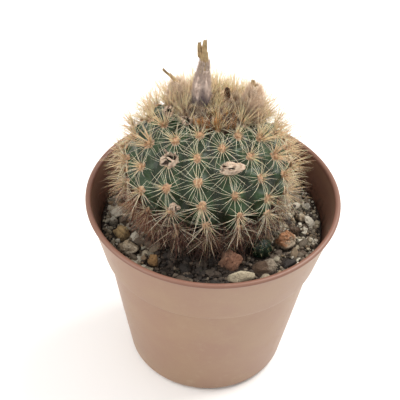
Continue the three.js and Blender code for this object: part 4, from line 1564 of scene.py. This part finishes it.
@dataclass
class Crown:
    """The woolly growing point: a lumpy pad, short loose wool and clumps of upright bristles.

    The balls round the husks stay bare, the wool and bristles in the shadow balls are darkened as
    painted shadow, and the bristles in front of a screened ball are short. Towards the front the
    pad, wool and bristles are painted darker as shade, and so is the pad between its lumps.
    """

    edge: float = 64.0
    depth: float = 2.5
    lumps: Pairs = ((2.4, 0.55), (0.9, 0.3))
    hairs: int = 6000
    hair_radius: float = 0.034
    tuft_count: int = 190
    tuft_width: float = 0.6
    bristles: int = 2900
    bristle_length: float = 5.5
    bristle_radius: float = 0.05
    clumps: int = 80
    rust_bristles: int = 520
    rust_length: float = 3.2
    seed: int = 120
    shadow_balls: tuple[tuple[Triple, float], ...] = (((3.4, 0.2, 66.6), 1.9), ((-6.4, -0.6, 66.6), 1.9))
    husks: list[Ball] = field(default_factory=list)
    screened: list[Ball] = field(default_factory=list)

    def cap(self, share: Array) -> Array:
        """Latitude at a share of the way from the middle of the crown to its edge, by area."""
        return 90 - (90 - self.edge) * np.sqrt(share)

    def pad(self) -> Surface:
        """A cushion over the cap whose height falls from the middle to the edge, with woolly lumps."""
        columns, rows = 150, 44
        latitude = np.linspace(self.edge - 2, 89, rows)[:, None]
        longitude = np.arange(columns)[None] * 360 / columns
        rise = smoothstep(latitude, self.edge - 2, self.edge + 8) * self.depth * 0.7
        points, normals = GLOBE.place(longitude, latitude, 0.0 * longitude)
        lumps = lumpy(points, self.lumps, 31)
        lift = rise * (1 + 0.55 * lumps) - 0.5 * (1 - smoothstep(latitude, self.edge - 2, self.edge))
        rings = points + normals * lift[..., None]
        foot = GLOBE.place(np.array(0.0), np.array(90.0), -3.0)[0]
        # Painted shade: the pad's tone is higher, so its wool is darker, in the hollows between lumps and
        # towards the front.
        shade = np.clip(0.6 - 0.9 * lumps + 0.45 * np.cos(np.radians(longitude)), 0, 1)
        return closed_rings(rings, {"tone": shade}, bottom=foot)

    def tufts(self) -> Surface:
        """Short pale wool in tufts: hairs lean towards the middle of their own tuft as they rise."""
        rng = default_rng(self.seed)
        turn = rng.uniform(0, 360, self.tuft_count)
        latitude = self.cap(rng.uniform(0, 1, self.tuft_count) * self.spread(turn))
        tuft_point, tuft_normal = GLOBE.place(turn, latitude, 0.0)
        drift = rng.normal(0, 0.5, (self.tuft_count, 3))
        tuft_tip = tuft_point + tuft_normal * rng.uniform(1.8, 4.0, (self.tuft_count, 1)) + drift
        which = rng.integers(0, self.tuft_count, self.hairs)
        roots = tuft_point[which] + rng.normal(0, self.tuft_width, (self.hairs, 3))
        roots = roots + tuft_normal[which] * 0.7
        heading = tuft_tip[which] + rng.normal(0, 0.4, (self.hairs, 3)) - roots
        length = np.linalg.norm(heading, axis=1) * rng.uniform(0.6, 1.15, self.hairs)
        bends = rng.normal(0, 0.2, (self.hairs, 3))
        # Painted shade: hairs towards the front and in the shadow balls are darker.
        before = GLOBE.centre[1] - roots[:, 1]
        tone = rng.uniform(-0.5, 0.5, self.hairs) + 0.5 * smoothstep(before, -1, 4)
        tone += rng.normal(0, 0.3, self.tuft_count)[which] + 0.9 * ~outside(roots, self.shadow_balls)
        keep = outside(roots + heading * 0.3, self.husks)
        return strands(roots, unit(heading), length, self.hair_radius, bends, 3, 3, tone, keep=keep)

    @staticmethod
    def spread(longitude: Array) -> Array:
        """How far down the wool reaches, as a share of the cap: further on the sides and the back."""
        return 1.08 + 0.8 * smoothstep(-np.cos(np.radians(longitude)), -0.72, 0.05)

    def screen(self, roots: Array) -> Array:
        """How much shorter a bristle stays that stands in front of a flower or the scrap.

        Args:
            roots: where the bristles start.

        Returns:
            A share of its length for each.
        """
        shorter = np.ones(len(roots))
        for middle, radius in self.screened:
            across, before = np.abs(roots[:, 0] - middle[0]), middle[1] - roots[:, 1]
            shorter[(across < radius) & (before > -1) & (before < 5)] = 0.45
        return shorter

    def stiff(self, count: int, rust: bool) -> Surface:
        """Bristles in clumps that lean their own ways; the rust-coloured ones stand low in front.

        Args:
            count: how many.
            rust: whether they are the front ones.

        Returns:
            The bristles, whose tone grows from pale to dark.
        """
        rng = default_rng(self.seed + 1 + rust)
        longitude = rng.normal(-18, 36, count) if rust else rng.uniform(0, 360, count)
        share = rng.uniform(0.35 if rust else 0, 1.12 if rust else 1, count)
        share *= 1 if rust else self.spread(longitude)
        points, normals = GLOBE.place(longitude, self.cap(share), 0.5)
        spots = rng.uniform(0, 360, self.clumps), self.cap(rng.uniform(0, 1, self.clumps))
        heads, _ = GLOBE.place(*spots, 0.5)
        nearest = np.linalg.norm(points[:, None] - heads[None], axis=2).argmin(1)
        lean = rng.normal(0, 0.26, (self.clumps, 3))[nearest] + 0.16 * (heads[nearest] - points)
        up = GLOBE.axes[2]
        outward = unit(normals - up * (normals @ up)[:, None])
        spread = (0.08 + 0.3 * share[:, None]) * outward
        direction = unit(normals * 0.35 + [0, 0, 0.8] + spread + lean + rng.normal(0, 0.15, (count, 3)))
        longest = self.rust_length if rust else self.bristle_length - 0.9 * share
        length = longest * rng.uniform(0.45, 1.12, count)
        length *= rng.uniform(0.78, 1.1, self.clumps)[nearest] * self.screen(points)
        bends = outward * 0.05 + rng.normal(0, 0.1, (count, 3))
        front = smoothstep(np.cos(np.radians(longitude)), 0.1, 0.9) * smoothstep(share, 0.2, 0.75)
        front *= not rust
        length *= 1 - 0.35 * front
        # Painted shade: bristles low in front and in the shadow balls take a higher, darker tone.
        tone = rng.beta(1.0, 2.4, count) + 0.35 * front
        tone += rng.choice([-0.35, -0.1, 0.1, 0.6], self.clumps)[nearest]
        tone += 0.8 * ~outside(points, self.shadow_balls)
        radii = self.bristle_radius * rng.uniform(0.7, 1.3, count)
        keep = outside(points + direction * 0.8, self.husks) & (rng.uniform(size=count) > 0.4 * front)
        return strands(points, direction, length, radii, bends, 4, 3, tone, keep=keep)

    def build(self) -> None:
        """Makes and dresses the crown."""
        fleece = Wool("crown_fleece", "e3d1b4", "94744f", "c9a788", "38220f", 1.4).material()
        pale = Spine("crown_bristle", "8a6538", "e2cfa3", "d3bc8c", "472f18").material()
        rust = Spine("rust_bristle", "5c381a", "cb8a3a", "dcab62", "3c2014").material()
        pieces = [
            make_piece("crown_pad", self.pad(), fleece),
            make_piece("crown_fleece_hairs", self.tufts(), fleece),
            make_piece("crown_bristles", self.stiff(self.bristles, False), pale),
            make_piece("rust_bristles", self.stiff(self.rust_bristles, True), rust),
        ]
        for piece in pieces:
            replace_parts(piece, "crown_wool")


@dataclass
class DriedFlower:
    """A withered flower: a felted tube, a dry neck, and dried petals twisted together above it.

    Rows are (height, radius, sideways shift) from the seat up, as its solid has them. Tips are
    (height, sideways shift, length) of the petals that stand free at the top.
    """

    node: str
    seat: Pair
    axis: Triple
    rows: tuple[Triple, ...]
    tips: tuple[Triple, ...]
    wool_top: float
    petals: int
    hair_length: float
    tube_top: float
    streak: float
    streak_turn: float
    lumps: Pairs = ((2.2, 0.04), (0.7, 0.025))
    hairs_per_mm: int = 380

    @property
    def basis(self) -> tuple[Array, Array]:
        """The seat, and rows of the east, back and up directions there."""
        point, _ = GLOBE.place(*map(np.array, self.seat), 0.0)
        return point, leaning_axes(self.axis)

    def at(self, height: Array, turn: Array, out: Array) -> Array:
        """Local points on the tube: its radius times out, round its shifted middle."""
        table = np.array(self.rows)
        radius = np.interp(height, table[:, 0], table[:, 1])
        shift = np.interp(height, table[:, 0], table[:, 2])
        return round_z(radius * out, turn, height) + shift[..., None] * EAST

    def stain(self, height: Array, turn: Array) -> Array:
        """Where the felt is dark: round its foot, and in a streak up one side; on the centre flower the
        streak is a violet stain, on the right flower it is painted shadow down its left edge.
        """
        beside = np.mod(turn - self.streak_turn + np.pi, 2 * np.pi) - np.pi
        streak = np.exp(-(beside / 0.32) ** 2) * (1 - smoothstep(height, 3, 9))
        foot = 1 - smoothstep(height, 1.2, 5.5)
        return np.clip(self.streak * (0.8 * streak + foot) + 0.12 * foot, 0, 1)

    def tube(self, low: float, high: float, seed: int) -> Surface:
        """A length of the tube's skin, with shallow folds along it and small scales, drawn in at its top.

        Args:
            low: height where it starts.
            high: height where it ends.
            seed: which unevenness.

        Returns:
            A closed skin, marked for both of the flower's finishes.
        """
        height = np.linspace(low, high, 90)[:, None]
        turn = full_turn(48)[None]
        folds = 0.035 * np.cos(5 * turn + height * 0.5) + 0.03 * np.cos(9 * turn - height * 0.7)
        plain = self.at(height, turn, 1.0)
        lumps = lumpy(plain, self.lumps, seed)
        blunt = np.sqrt(np.clip(1 - smoothstep(height, high - 1.4, high + 0.1) ** 2, 0.02, 1))
        rings = self.at(height, turn, (0.93 + folds + lumps) * blunt)
        origin, axes = self.basis
        # Painted shade: the recesses of the folds are marked hollow, so they are darkened.
        marks = {"tone": self.stain(height, turn), "hollow": np.clip(-6 * folds, 0, 0.6)}
        return closed_rings(rings @ axes + origin, marks)

    def hairs(self, seed: int, count: int) -> Surface:
        """Fine hairs that lie up along the tube, looser near its foot.

        Args:
            seed: which draw.
            count: how many.

        Returns:
            The hairs.
        """
        rng = default_rng(seed)
        height = rng.uniform(-0.5, self.wool_top + 0.8, count)
        turn = rng.uniform(0, TURN, count)
        roots = self.at(height, turn, 0.92)
        out = round_z(1.0, turn, 0.0)
        loose = 1 - smoothstep(height, 0, 0.6 * self.wool_top)[:, None]
        lean = rng.uniform(0.08, 0.45, (count, 1)) + 0.35 * loose * self.hair_length
        direction = unit(out * lean + UPRIGHT + rng.normal(0, 0.14, (count, 3)))
        length = self.hair_length * rng.uniform(0.6, 1.3, count) * (1 + 0.4 * loose[:, 0])
        bends = rng.normal(0, 0.16, (count, 3)) - out * 0.1
        tone = 0.8 * self.stain(height, turn) + rng.normal(0.0, 0.22 - 0.12 * self.streak, count)
        origin, axes = self.basis
        return strands(roots @ axes + origin, direction @ axes, length, 0.032, bends @ axes, 3, 3, tone)

    def petal(
        self, turn: float, start: float, reach: float, wide: float, seed: int, blunt: float,
        shift: float | None = None,
    ) -> Surface:
        """One dried petal: a narrow strip along the neck with curled edges and a frayed end.

        Args:
            turn: where it stands round the neck.
            start: height of its foot.
            reach: its length.
            wide: half its width.
            seed: which draw.
            blunt: how much of its width it keeps at its end.
            shift: how far to the side it stands free, or None for a petal that lies on the neck.

        Returns:
            A thin closed strip.
        """
        rng = default_rng(seed)
        share = np.linspace(0, 1, 20)[:, None]
        across, face = strip_section(7, 0.05)
        taper = np.sin(np.pi * (0.12 + 0.86 * share)) ** 0.8
        kept = smoothstep(share, 0.0, 0.25) * (1 - 0.25 * share)
        width = wide * (taper * (1 - blunt) + kept * blunt)
        rise = start + reach * share
        middle = self.at(rise, turn + 0.5 * share, 0.78 + 0.2 * share)
        if shift is not None:
            middle = np.concatenate([shift * (0.7 + 0.5 * share), 0.1 - 0.2 * share, rise], 1)[:, None]
        out = round_z(1.0, turn + 0.5 * share, 0.0)
        beside = np.cross(np.broadcast_to(UPRIGHT, out.shape), out)
        curl = 0.4 * width * across ** 2 + 0.1 * np.sin(9 * share + turn * 3)
        lean = rng.normal(0.0, 0.2) * share ** 2
        fray = 0.05 * reach * np.sin(across * 4.5 + seed) * smoothstep(share, 0.7, 1.0)
        ring = middle + beside * (width * across)[..., None] + out * (face + lean - curl * 0.6)[..., None]
        ring = ring + fray[..., None] * UPRIGHT
        origin, axes = self.basis
        plain = 0 * width * across
        marks = {"tone": plain, "hollow": plain + 0.25 * (across > 0) * share}
        return closed_rings(ring[:, ::-1] @ axes + origin, marks)

    def build(self, felt: Material, tissue: Material, number: int) -> None:
        """Makes and dresses the flower.

        Args:
            felt: the finish below its neck.
            tissue: the finish above.
            number: which flower, for its draws.
        """
        seed = 200 + 20 * number
        neck, top = self.wool_top - 1.6, self.tube_top
        reaches = [(top - neck) * (0.85 + 0.25 * math.cos(i * 1.7) ** 2) for i in range(self.petals)]
        leaves = [
            self.petal(i * 2.4, neck - 0.6, reach, 0.42, seed + 5 + i, 0.3)
            for i, reach in enumerate(reaches)
        ]
        leaves += [
            self.petal(0.5 * i - 0.3, height - 2.0, length + 2.0, 0.62, seed + 30 + i, 0.7, shift)
            for i, (height, shift, length) in enumerate(self.tips)
        ]
        leaves.append(self.tube(neck, top, seed + 3))
        hairs = int(self.hairs_per_mm * self.wool_top * max(1.0, self.hair_length))
        tube = self.tube(self.rows[0][0], self.wool_top, seed)
        pieces = [
            make_piece(f"{self.node}_tube", tube, felt),
            make_piece(f"{self.node}_wool", self.hairs(seed + 2, hairs), felt),
            make_piece(f"{self.node}_petals", Surface.joined(leaves), tissue),
        ]
        for piece in pieces:
            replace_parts(piece, self.node)


def dried_flowers() -> list[DriedFlower]:
    """The three withered flowers of the crown."""
    return [
        DriedFlower(
            "dried_flower_centre", (-62, 78.5), (0.01, 0.02, 1),
            ((-2.5, 1.1, 0), (0, 1.3, 0), (2.4, 1.6, 0), (4.2, 1.9, 0), (7, 1.8, 0), (9.2, 1.3, 0.1),
             (11.6, 1.0, 0.3), (13, 0.8, 0.25), (15.2, 0.72, -0.05), (16.6, 0.6, -0.1)),
            ((14.6, 0.15, 2.5), (14.3, -0.7, 2.2)), 11.4, 7, 0.9, 15.6, 1.0, 0.15),
        # This flower's streak is painted shadow down its left edge.
        DriedFlower(
            "dried_flower_right", (82, 66), (0.2, 0.02, 0.98),
            ((-2, 1.5, 0), (0.5, 2.0, 0), (3, 2.2, 0), (5.2, 1.9, 0), (7, 1.2, -0.4), (8.4, 0.7, -0.8),
             (9.8, 0.05, -0.9)),
            ((6.8, -0.9, 2.6),), 6.9, 2, 1.7, 9.2, 0.75, -0.8),
        DriedFlower(
            "dried_flower_left", (-100, 64), (0.02, 0, 1),
            ((-2, 1.5, 0), (0.5, 2.0, -0.2), (3, 2.1, -0.5), (4.8, 1.7, -0.4), (5.5, 0.8, -0.3),
             (6.4, 0.5, -1), (7.8, 0.35, -2.4), (9.3, 0.05, -3.9)),
            (), 5.0, 3, 1.6, 9.2, 0.0, 0.0),
    ]


@dataclass
class SeedHusk:
    """An empty seed husk in its solid's place: a thin crumpled shell with a torn opening and tatters.

    The opening leans from the areole's normal by shares of its side and its downhill directions.
    """

    node: str
    seat: Pair
    opening: Pair
    gape: float
    torn: float
    crush: float
    tatters: int
    seed: int
    free: float = 0.68

    @property
    def ball(self) -> Ball:
        """A ball in the solid's box that the spines leave free."""
        middle, half = node_box(self.node)
        return middle, self.free * float(half.max())

    def rim(self, turn: Array) -> Array:
        """Angle of the torn edge from the pole behind: it wavers round the opening."""
        phases = default_rng(self.seed).uniform(0, TURN, 4)
        waves = sum(np.sin(k * turn + phase) / k ** 0.5 for k, phase in zip((2, 3, 7, 12), phases))
        return np.radians(180 - self.gape + waves * self.torn)

    def crumpled(self, back: Array) -> Array:
        """How far out the paper lies in each direction: soft lumps, sharp creases and fine wrinkles."""
        lump, fine = ripple(back, 1.3, self.seed), ripple(back, 0.3, self.seed + 2)
        crease = np.abs(ripple(back, 0.9, self.seed + 1)) - 0.3
        return 1 + self.crush * (1.1 * lump - 1.3 * crease + 0.3 * fine)

    def shell(self) -> Surface:
        """Outer and inner skins of an ellipsoid, joined round a ragged opening, about a unit in radius.

        Both run from the pole behind to the rim; the inner skin is the outer one drawn in a little.
        """
        turn = full_turn(80)[None]
        share = np.linspace(0.04, 1, 30)[:, None]
        polar = self.rim(turn) * share
        back = round_z(np.sin(polar), turn, -np.cos(polar))
        outer = back * self.crumpled(back)[..., None]
        skin = np.concatenate([outer, outer[::-1] * 0.9])
        # Painted shade: the inner skin is marked hollow, darker the deeper it lies inside the husk.
        deep = smoothstep(np.arange(len(outer)), 0, 9)[:, None]
        hollow = np.concatenate([0 * polar, 0.1 + 0.85 * deep + 0 * polar])
        return closed_rings(skin, {"hollow": hollow}, -UPRIGHT, -0.9 * UPRIGHT)

    def tatter(self, turn: float, length: float, wide: float, curl: float) -> Surface:
        """A torn strip that goes on from the rim along a circular arc.

        Args:
            turn: where on the rim it starts.
            length: how long it is.
            wide: half its width at its foot.
            curl: how far it turns in over the opening, in radians; a negative one flares out.

        Returns:
            A thin closed strip.
        """
        share = np.linspace(0, 1, 10)[:, None]
        across, face = strip_section(5, 0.03)
        start = float(self.rim(np.array(turn))) - 0.12
        heading = start + curl * share
        out = math.sin(start) + length * (np.sin(heading) - math.sin(start)) / curl
        up = -math.cos(start) - length * (np.cos(heading) - math.cos(start)) / curl
        wrinkle = face + 0.07 * np.sin(7 * share + 3 * across + turn) * share
        width = wide * (1 - 0.55 * share) * (1 + 0.25 * np.sin(9 * share + turn * 5))
        outward = np.array([math.sin(turn), -math.cos(turn), 0.0])
        beside = np.array([math.cos(turn), math.sin(turn), 0.0])
        ragged = 0.12 * length * np.sin(across * 5 + turn * 7) * share ** 3
        ring = (
            (out + wrinkle * np.sin(heading) + ragged * np.cos(heading))[..., None] * outward
            + (up - wrinkle * np.cos(heading) + ragged * np.sin(heading))[..., None] * UPRIGHT
            + (width * across)[..., None] * beside
        )
        # Painted shade: each tatter's inner face is marked hollow, so it is darkened.
        return closed_rings(ring, {"hollow": 0.35 * (face < 0) + 0 * width})

    def paper(self) -> Surface:
        """The shell and its tatters, turned to its opening and fitted to its solid's box."""
        rng = default_rng(self.seed + 5)
        turns, curls = rng.uniform(0, TURN, self.tatters), (-0.9, 1.6, 2.1, 2.5)
        strips = [
            self.tatter(float(turn), rng.uniform(0.6, 1.3), rng.uniform(0.16, 0.36), rng.choice(curls))
            for turn in turns
        ]
        whole = Surface.joined([self.shell(), *strips])
        _, normal = GLOBE.place(*map(np.array, self.seat), 0.0)
        down, side = GLOBE.downhill(normal)
        tilt_side, tilt_down = self.opening
        facing = unit(normal + side * tilt_side + down * tilt_down)
        east = unit(np.cross(facing, down))
        turned_points = whole.points @ np.stack([east, np.cross(facing, east), facing])
        whole.points = fitted(turned_points, self.node)
        return whole

    def build(self, tissue: Material) -> None:
        """Makes and dresses the husk."""
        piece = make_piece(f"{self.node}_shell", self.paper(), tissue)
        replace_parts(piece, self.node)


def seed_husks() -> list[SeedHusk]:
    """The husks caught among the spines, with where each is torn open."""
    return [
        SeedHusk("fruit_husk_1", (16.5, 34.7), (-1.5, 0.1), 42, 14, 0.23, 3, 301),
        SeedHusk("fruit_husk_2", (-31.8, 31.4), (-0.1, -0.2), 92, 26, 0.24, 8, 302),
        SeedHusk("fruit_husk_3", (-19.9, -0.9), (0.3, 0.5), 80, 26, 0.26, 6, 303),
        SeedHusk("fruit_husk_4", (-41, 62), (0.3, 0.4), 72, 26, 0.28, 6, 304),
        SeedHusk("fruit_husk_5", (-71, 57.5), (0.2, 0.3), 60, 24, 0.24, 4, 305),
    ]


@dataclass
class PetalScrap:
    """A curled scrap of brown petal in the crown's wool."""

    node: str = "petal_scrap"

    def blade(self) -> Surface:
        """A strip curled about its length, hollow towards the front, with a frayed outline."""
        middle, half = node_box(self.node)
        rise = np.linspace(-1, 1, 26)[:, None]
        across, face = strip_section(11, -0.05)
        frayed = 1 + 0.12 * np.sin(9 * rise) + 0.06 * np.sin(23 * rise + 1)
        width = np.sqrt(np.clip(1.02 - rise ** 2, 0, 1)) * frayed
        x = half[0] * np.sin(1.25 * across * width)
        y = half[1] * (0.5 * rise ** 2 - 0.9 * (1 - np.cos(1.25 * across * width))) + face
        ring = np.stack(np.broadcast_arrays(x, y, rise * half[2]), -1) + middle
        # Painted shade: the inner face of the curl is marked hollow, darkest along its middle.
        return closed_rings(ring, {"hollow": 0.75 * (face < 0) * (1 - np.abs(across)) + 0 * width})

    def build(self) -> None:
        """Makes and dresses the scrap."""
        tissue = DryTissue("brown_petal", "5f4025", "33231a", "1d130d").material()
        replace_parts(make_piece("curled_petal", self.blade(), tissue), self.node)


@dataclass
class Seedling:
    """A small ribbed globe in the soil, with tiny areoles of its own."""

    node: str = "seedling"
    ribs: int = 9
    columns: int = 108
    rows: int = 50
    per_areole: int = 5

    @property
    def spot(self) -> Triple:
        """Its place and radius on the soil."""
        middle, half = node_box(self.node)
        return middle[0], middle[1], half[0]

    def globe(self, middle: Array, half: Array) -> Surface:
        """Its skin: ribs and small knobs on an ellipsoid with the box's middle and half sizes.

        Args:
            middle: the box's middle.
            half: half its size each way.

        Returns:
            The skin.
        """
        tilt = np.linspace(-1.5, 1.5, self.rows)[:, None]
        turn = full_turn(self.columns)[None]
        crest = np.cos(self.ribs * turn)
        knob = np.cos(tilt * 12 + np.round(turn * self.ribs / (2 * np.pi)) * np.pi)
        reach = 0.93 + (0.055 * crest + 0.03 * knob * (0.5 + 0.5 * crest)) * np.cos(tilt)
        local = round_z(reach * np.cos(tilt), turn, reach * np.sin(tilt))
        marks = {
            "crest": 0.5 + 0.5 * crest + 0 * tilt, "knob": 0.5 + 0.5 * knob,
            "upward": np.clip(np.sin(tilt), 0, 1) + 0 * turn,
        }
        pole = 0.93 * half * UPRIGHT
        return closed_rings(local * half + middle, marks, middle - pole, middle + pole)

    def prickles(self, middle: Array, half: Array) -> Surface:
        """Short fine spines from three areoles on each rib.

        Args:
            middle: the middle of its solid's box.
            half: half the box's size each way.

        Returns:
            The spines.
        """
        rng = default_rng(400)
        tilt, rib = [grid.ravel() for grid in np.meshgrid([0.25, 0.62, 1.0], np.arange(self.ribs))]
        out = round_z(np.cos(tilt), rib * 2 * np.pi / self.ribs, np.sin(tilt))
        out = np.repeat(out, self.per_areole, axis=0)
        direction = unit(out * 0.5 + rng.normal(0, 0.6, out.shape))
        length = rng.uniform(0.5, 1.1, len(out))
        roots = out * half * 0.97 + middle
        return strands(roots, direction, length, 0.032, 0.0, 3, 2, 0.4, SOIL_LEVEL + 0.4)

    def build(self) -> None:
        """Makes and dresses the seedling and its small spines."""
        middle, half = node_box(self.node)
        # Painted shade: the seedling's colours and its spines are kept about half as bright, since it sits
        # in shadow.
        colours = ("0d180f", "172b1a", "26382b", "1e1e16", "080e09", "34452f", "302c20")
        skin = Skin("seedling_skin", *colours, (36.5, 38.0))
        body = make_piece("seedling_globe", self.globe(middle, half), skin.material())
        pale = Spine("seedling_spine", "7d6344", "b3a682", "b9ad8b", "7f6c52").material()
        prickles = make_piece("seedling_spines", self.prickles(middle, half), pale)
        for piece in (body, prickles):
            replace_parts(piece, self.node)


# Stage, light and camera

@dataclass(frozen=True)
class SoftLight:
    """A square soft light aimed at a point, in metres and watts."""

    name: str
    place: Triple
    target: Triple
    size: float
    power: float
    tint: Triple

    def build(self) -> None:
        """Makes the light."""
        lamp = bpy.data.lights.new(self.name, "AREA")
        lamp.shape = "SQUARE"
        lamp.size = self.size
        lamp.energy = self.power
        lamp.color = self.tint
        holder = placed(self.name, lamp)
        holder.location = self.place
        heading = Vector(self.target) - Vector(self.place)
        holder.rotation_euler = heading.to_track_quat("-Z", "Y").to_euler()


@dataclass
class Studio:
    """A pale floor, soft overhead light and the camera at the photograph's angle."""

    rim_height: float = 45.0
    distance: float = 250.0
    elevation: float = 42.3
    roll: float = 2.57
    lens: float = 105.0
    shift_right: float = -2.85
    shift_up: float = -1.37
    floor_size: float = 3.0
    surround: float = 0.8
    soft_lights: tuple[SoftLight, ...] = (
        SoftLight("window", (0.26, 0.13, 0.42), (0, 0, 0.045), 0.3, 2.7, (1.0, 0.98, 0.95)),
        SoftLight("left_fill", (-0.36, -0.12, 0.4), (0, 0, 0.04), 0.35, 1.7, (1.0, 0.97, 0.94)),
    )

    def floor(self) -> None:
        """A wide pale floor under the pot."""
        half = self.floor_size / 2
        mesh = bpy.data.meshes.new("studio_floor")
        corners = [(-half, -half, 0), (half, -half, 0), (half, half, 0), (-half, half, 0)]
        mesh.from_pydata(corners, [], [(0, 1, 2, 3)])
        shader = Shader("studio_floor")
        tint = shader.noise(60, 2)
        shader.set(Base_Color=shader.blend(tint, "f4f3f1", "f7f6f5"), Roughness=0.7 + 0.1 * tint)
        mesh.materials.append(shader.material)
        plane = placed("studio_floor", mesh)

    def lights(self) -> None:
        """A bright white surround and the soft lights."""
        world = bpy.data.worlds.new("white_surround")
        world.use_nodes = True
        sky = world.node_tree.nodes["Background"]
        sky.inputs["Color"].default_value = (1.0, 1.0, 1.0, 1.0)
        sky.inputs["Strength"].default_value = self.surround
        bpy.context.scene.world = world
        for light in self.soft_lights:
            light.build()

    def camera(self) -> None:
        """The camera looks at the rim's middle from the front, rolled and shifted as the photograph is."""
        tilt, roll = math.radians(self.elevation), math.radians(self.roll)
        right = Vector((1, 0, 0))
        up = Vector((0, math.sin(tilt), math.cos(tilt)))
        image_right = right * math.cos(roll) + up * math.sin(roll)
        image_up = up * math.cos(roll) - right * math.sin(roll)
        back = image_right.cross(image_up)
        place = Vector((0, 0, self.rim_height)) + back * self.distance
        place += image_right * self.shift_right + image_up * self.shift_up
        data = bpy.data.cameras.new("photo_camera")
        data.lens = self.lens
        data.sensor_width = 36.0
        data.clip_start = 0.01
        camera = placed("photo_camera", data)
        turn = Matrix((image_right, image_up, back)).transposed().to_4x4()
        camera.matrix_world = Matrix.Translation(place * MM) @ turn
        bpy.context.scene.camera = camera

    def build(self) -> None:
        """Sets the whole stage."""
        self.floor()
        self.lights()
        self.camera()
        bpy.context.scene.view_settings.view_transform = "Standard"


def main() -> None:
    """Builds the stage and every piece."""
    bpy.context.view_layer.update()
    Studio().build()
    pot = NurseryPot()
    pot.build()
    pebbles, seedling = Pebbles(), Seedling()
    SoilBed(pot, keep_out=[*pebbles.keep_out(), seedling.spot, GLOBE.foot]).build()
    pebbles.build()
    CactusBody().build()
    husks = seed_husks()
    open_ground = [husk.ball for husk in husks]
    crown_husk = open_ground[-1][0]
    SpineCoat(husks=open_ground, pushed=[(crown_husk + np.array([0.0, -1.0, 0.6]), 1.9)]).build()
    flowers, scrap = dried_flowers(), PetalScrap()
    screened = [(flower.basis[0], 2.4) for flower in flowers]
    screened += [(node_box(scrap.node)[0], 1.1), (crown_husk, 1.5)]
    bare = [(middle, 1.2 * reach) for middle, reach in open_ground]
    Crown(husks=bare, screened=screened).build()
    felt = Wool("flower_felt", "d3bfb0", "c8b3a5", "ccb7aa", "564558", 1.6).material()
    pale_felt = Wool("pale_flower_felt", "f8e6d0", "dfc09f", "ecd0b2", "7a5436", 1.1).material()
    tissue = DryTissue("flower_tissue", "a68f68", "796146", "4d3c2b").material()
    for number, flower in enumerate(flowers):
        flower.build(pale_felt if number else felt, tissue, number)
    paper = DryTissue("husk_paper", "b8a490", "8c7461", "33241b").material()
    for husk in husks:
        husk.build(paper)
    scrap.build()
    seedling.build()
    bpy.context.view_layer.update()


if __name__ == "__main__":
    logging.basicConfig(level=logging.INFO, format="%(message)s")
    main()
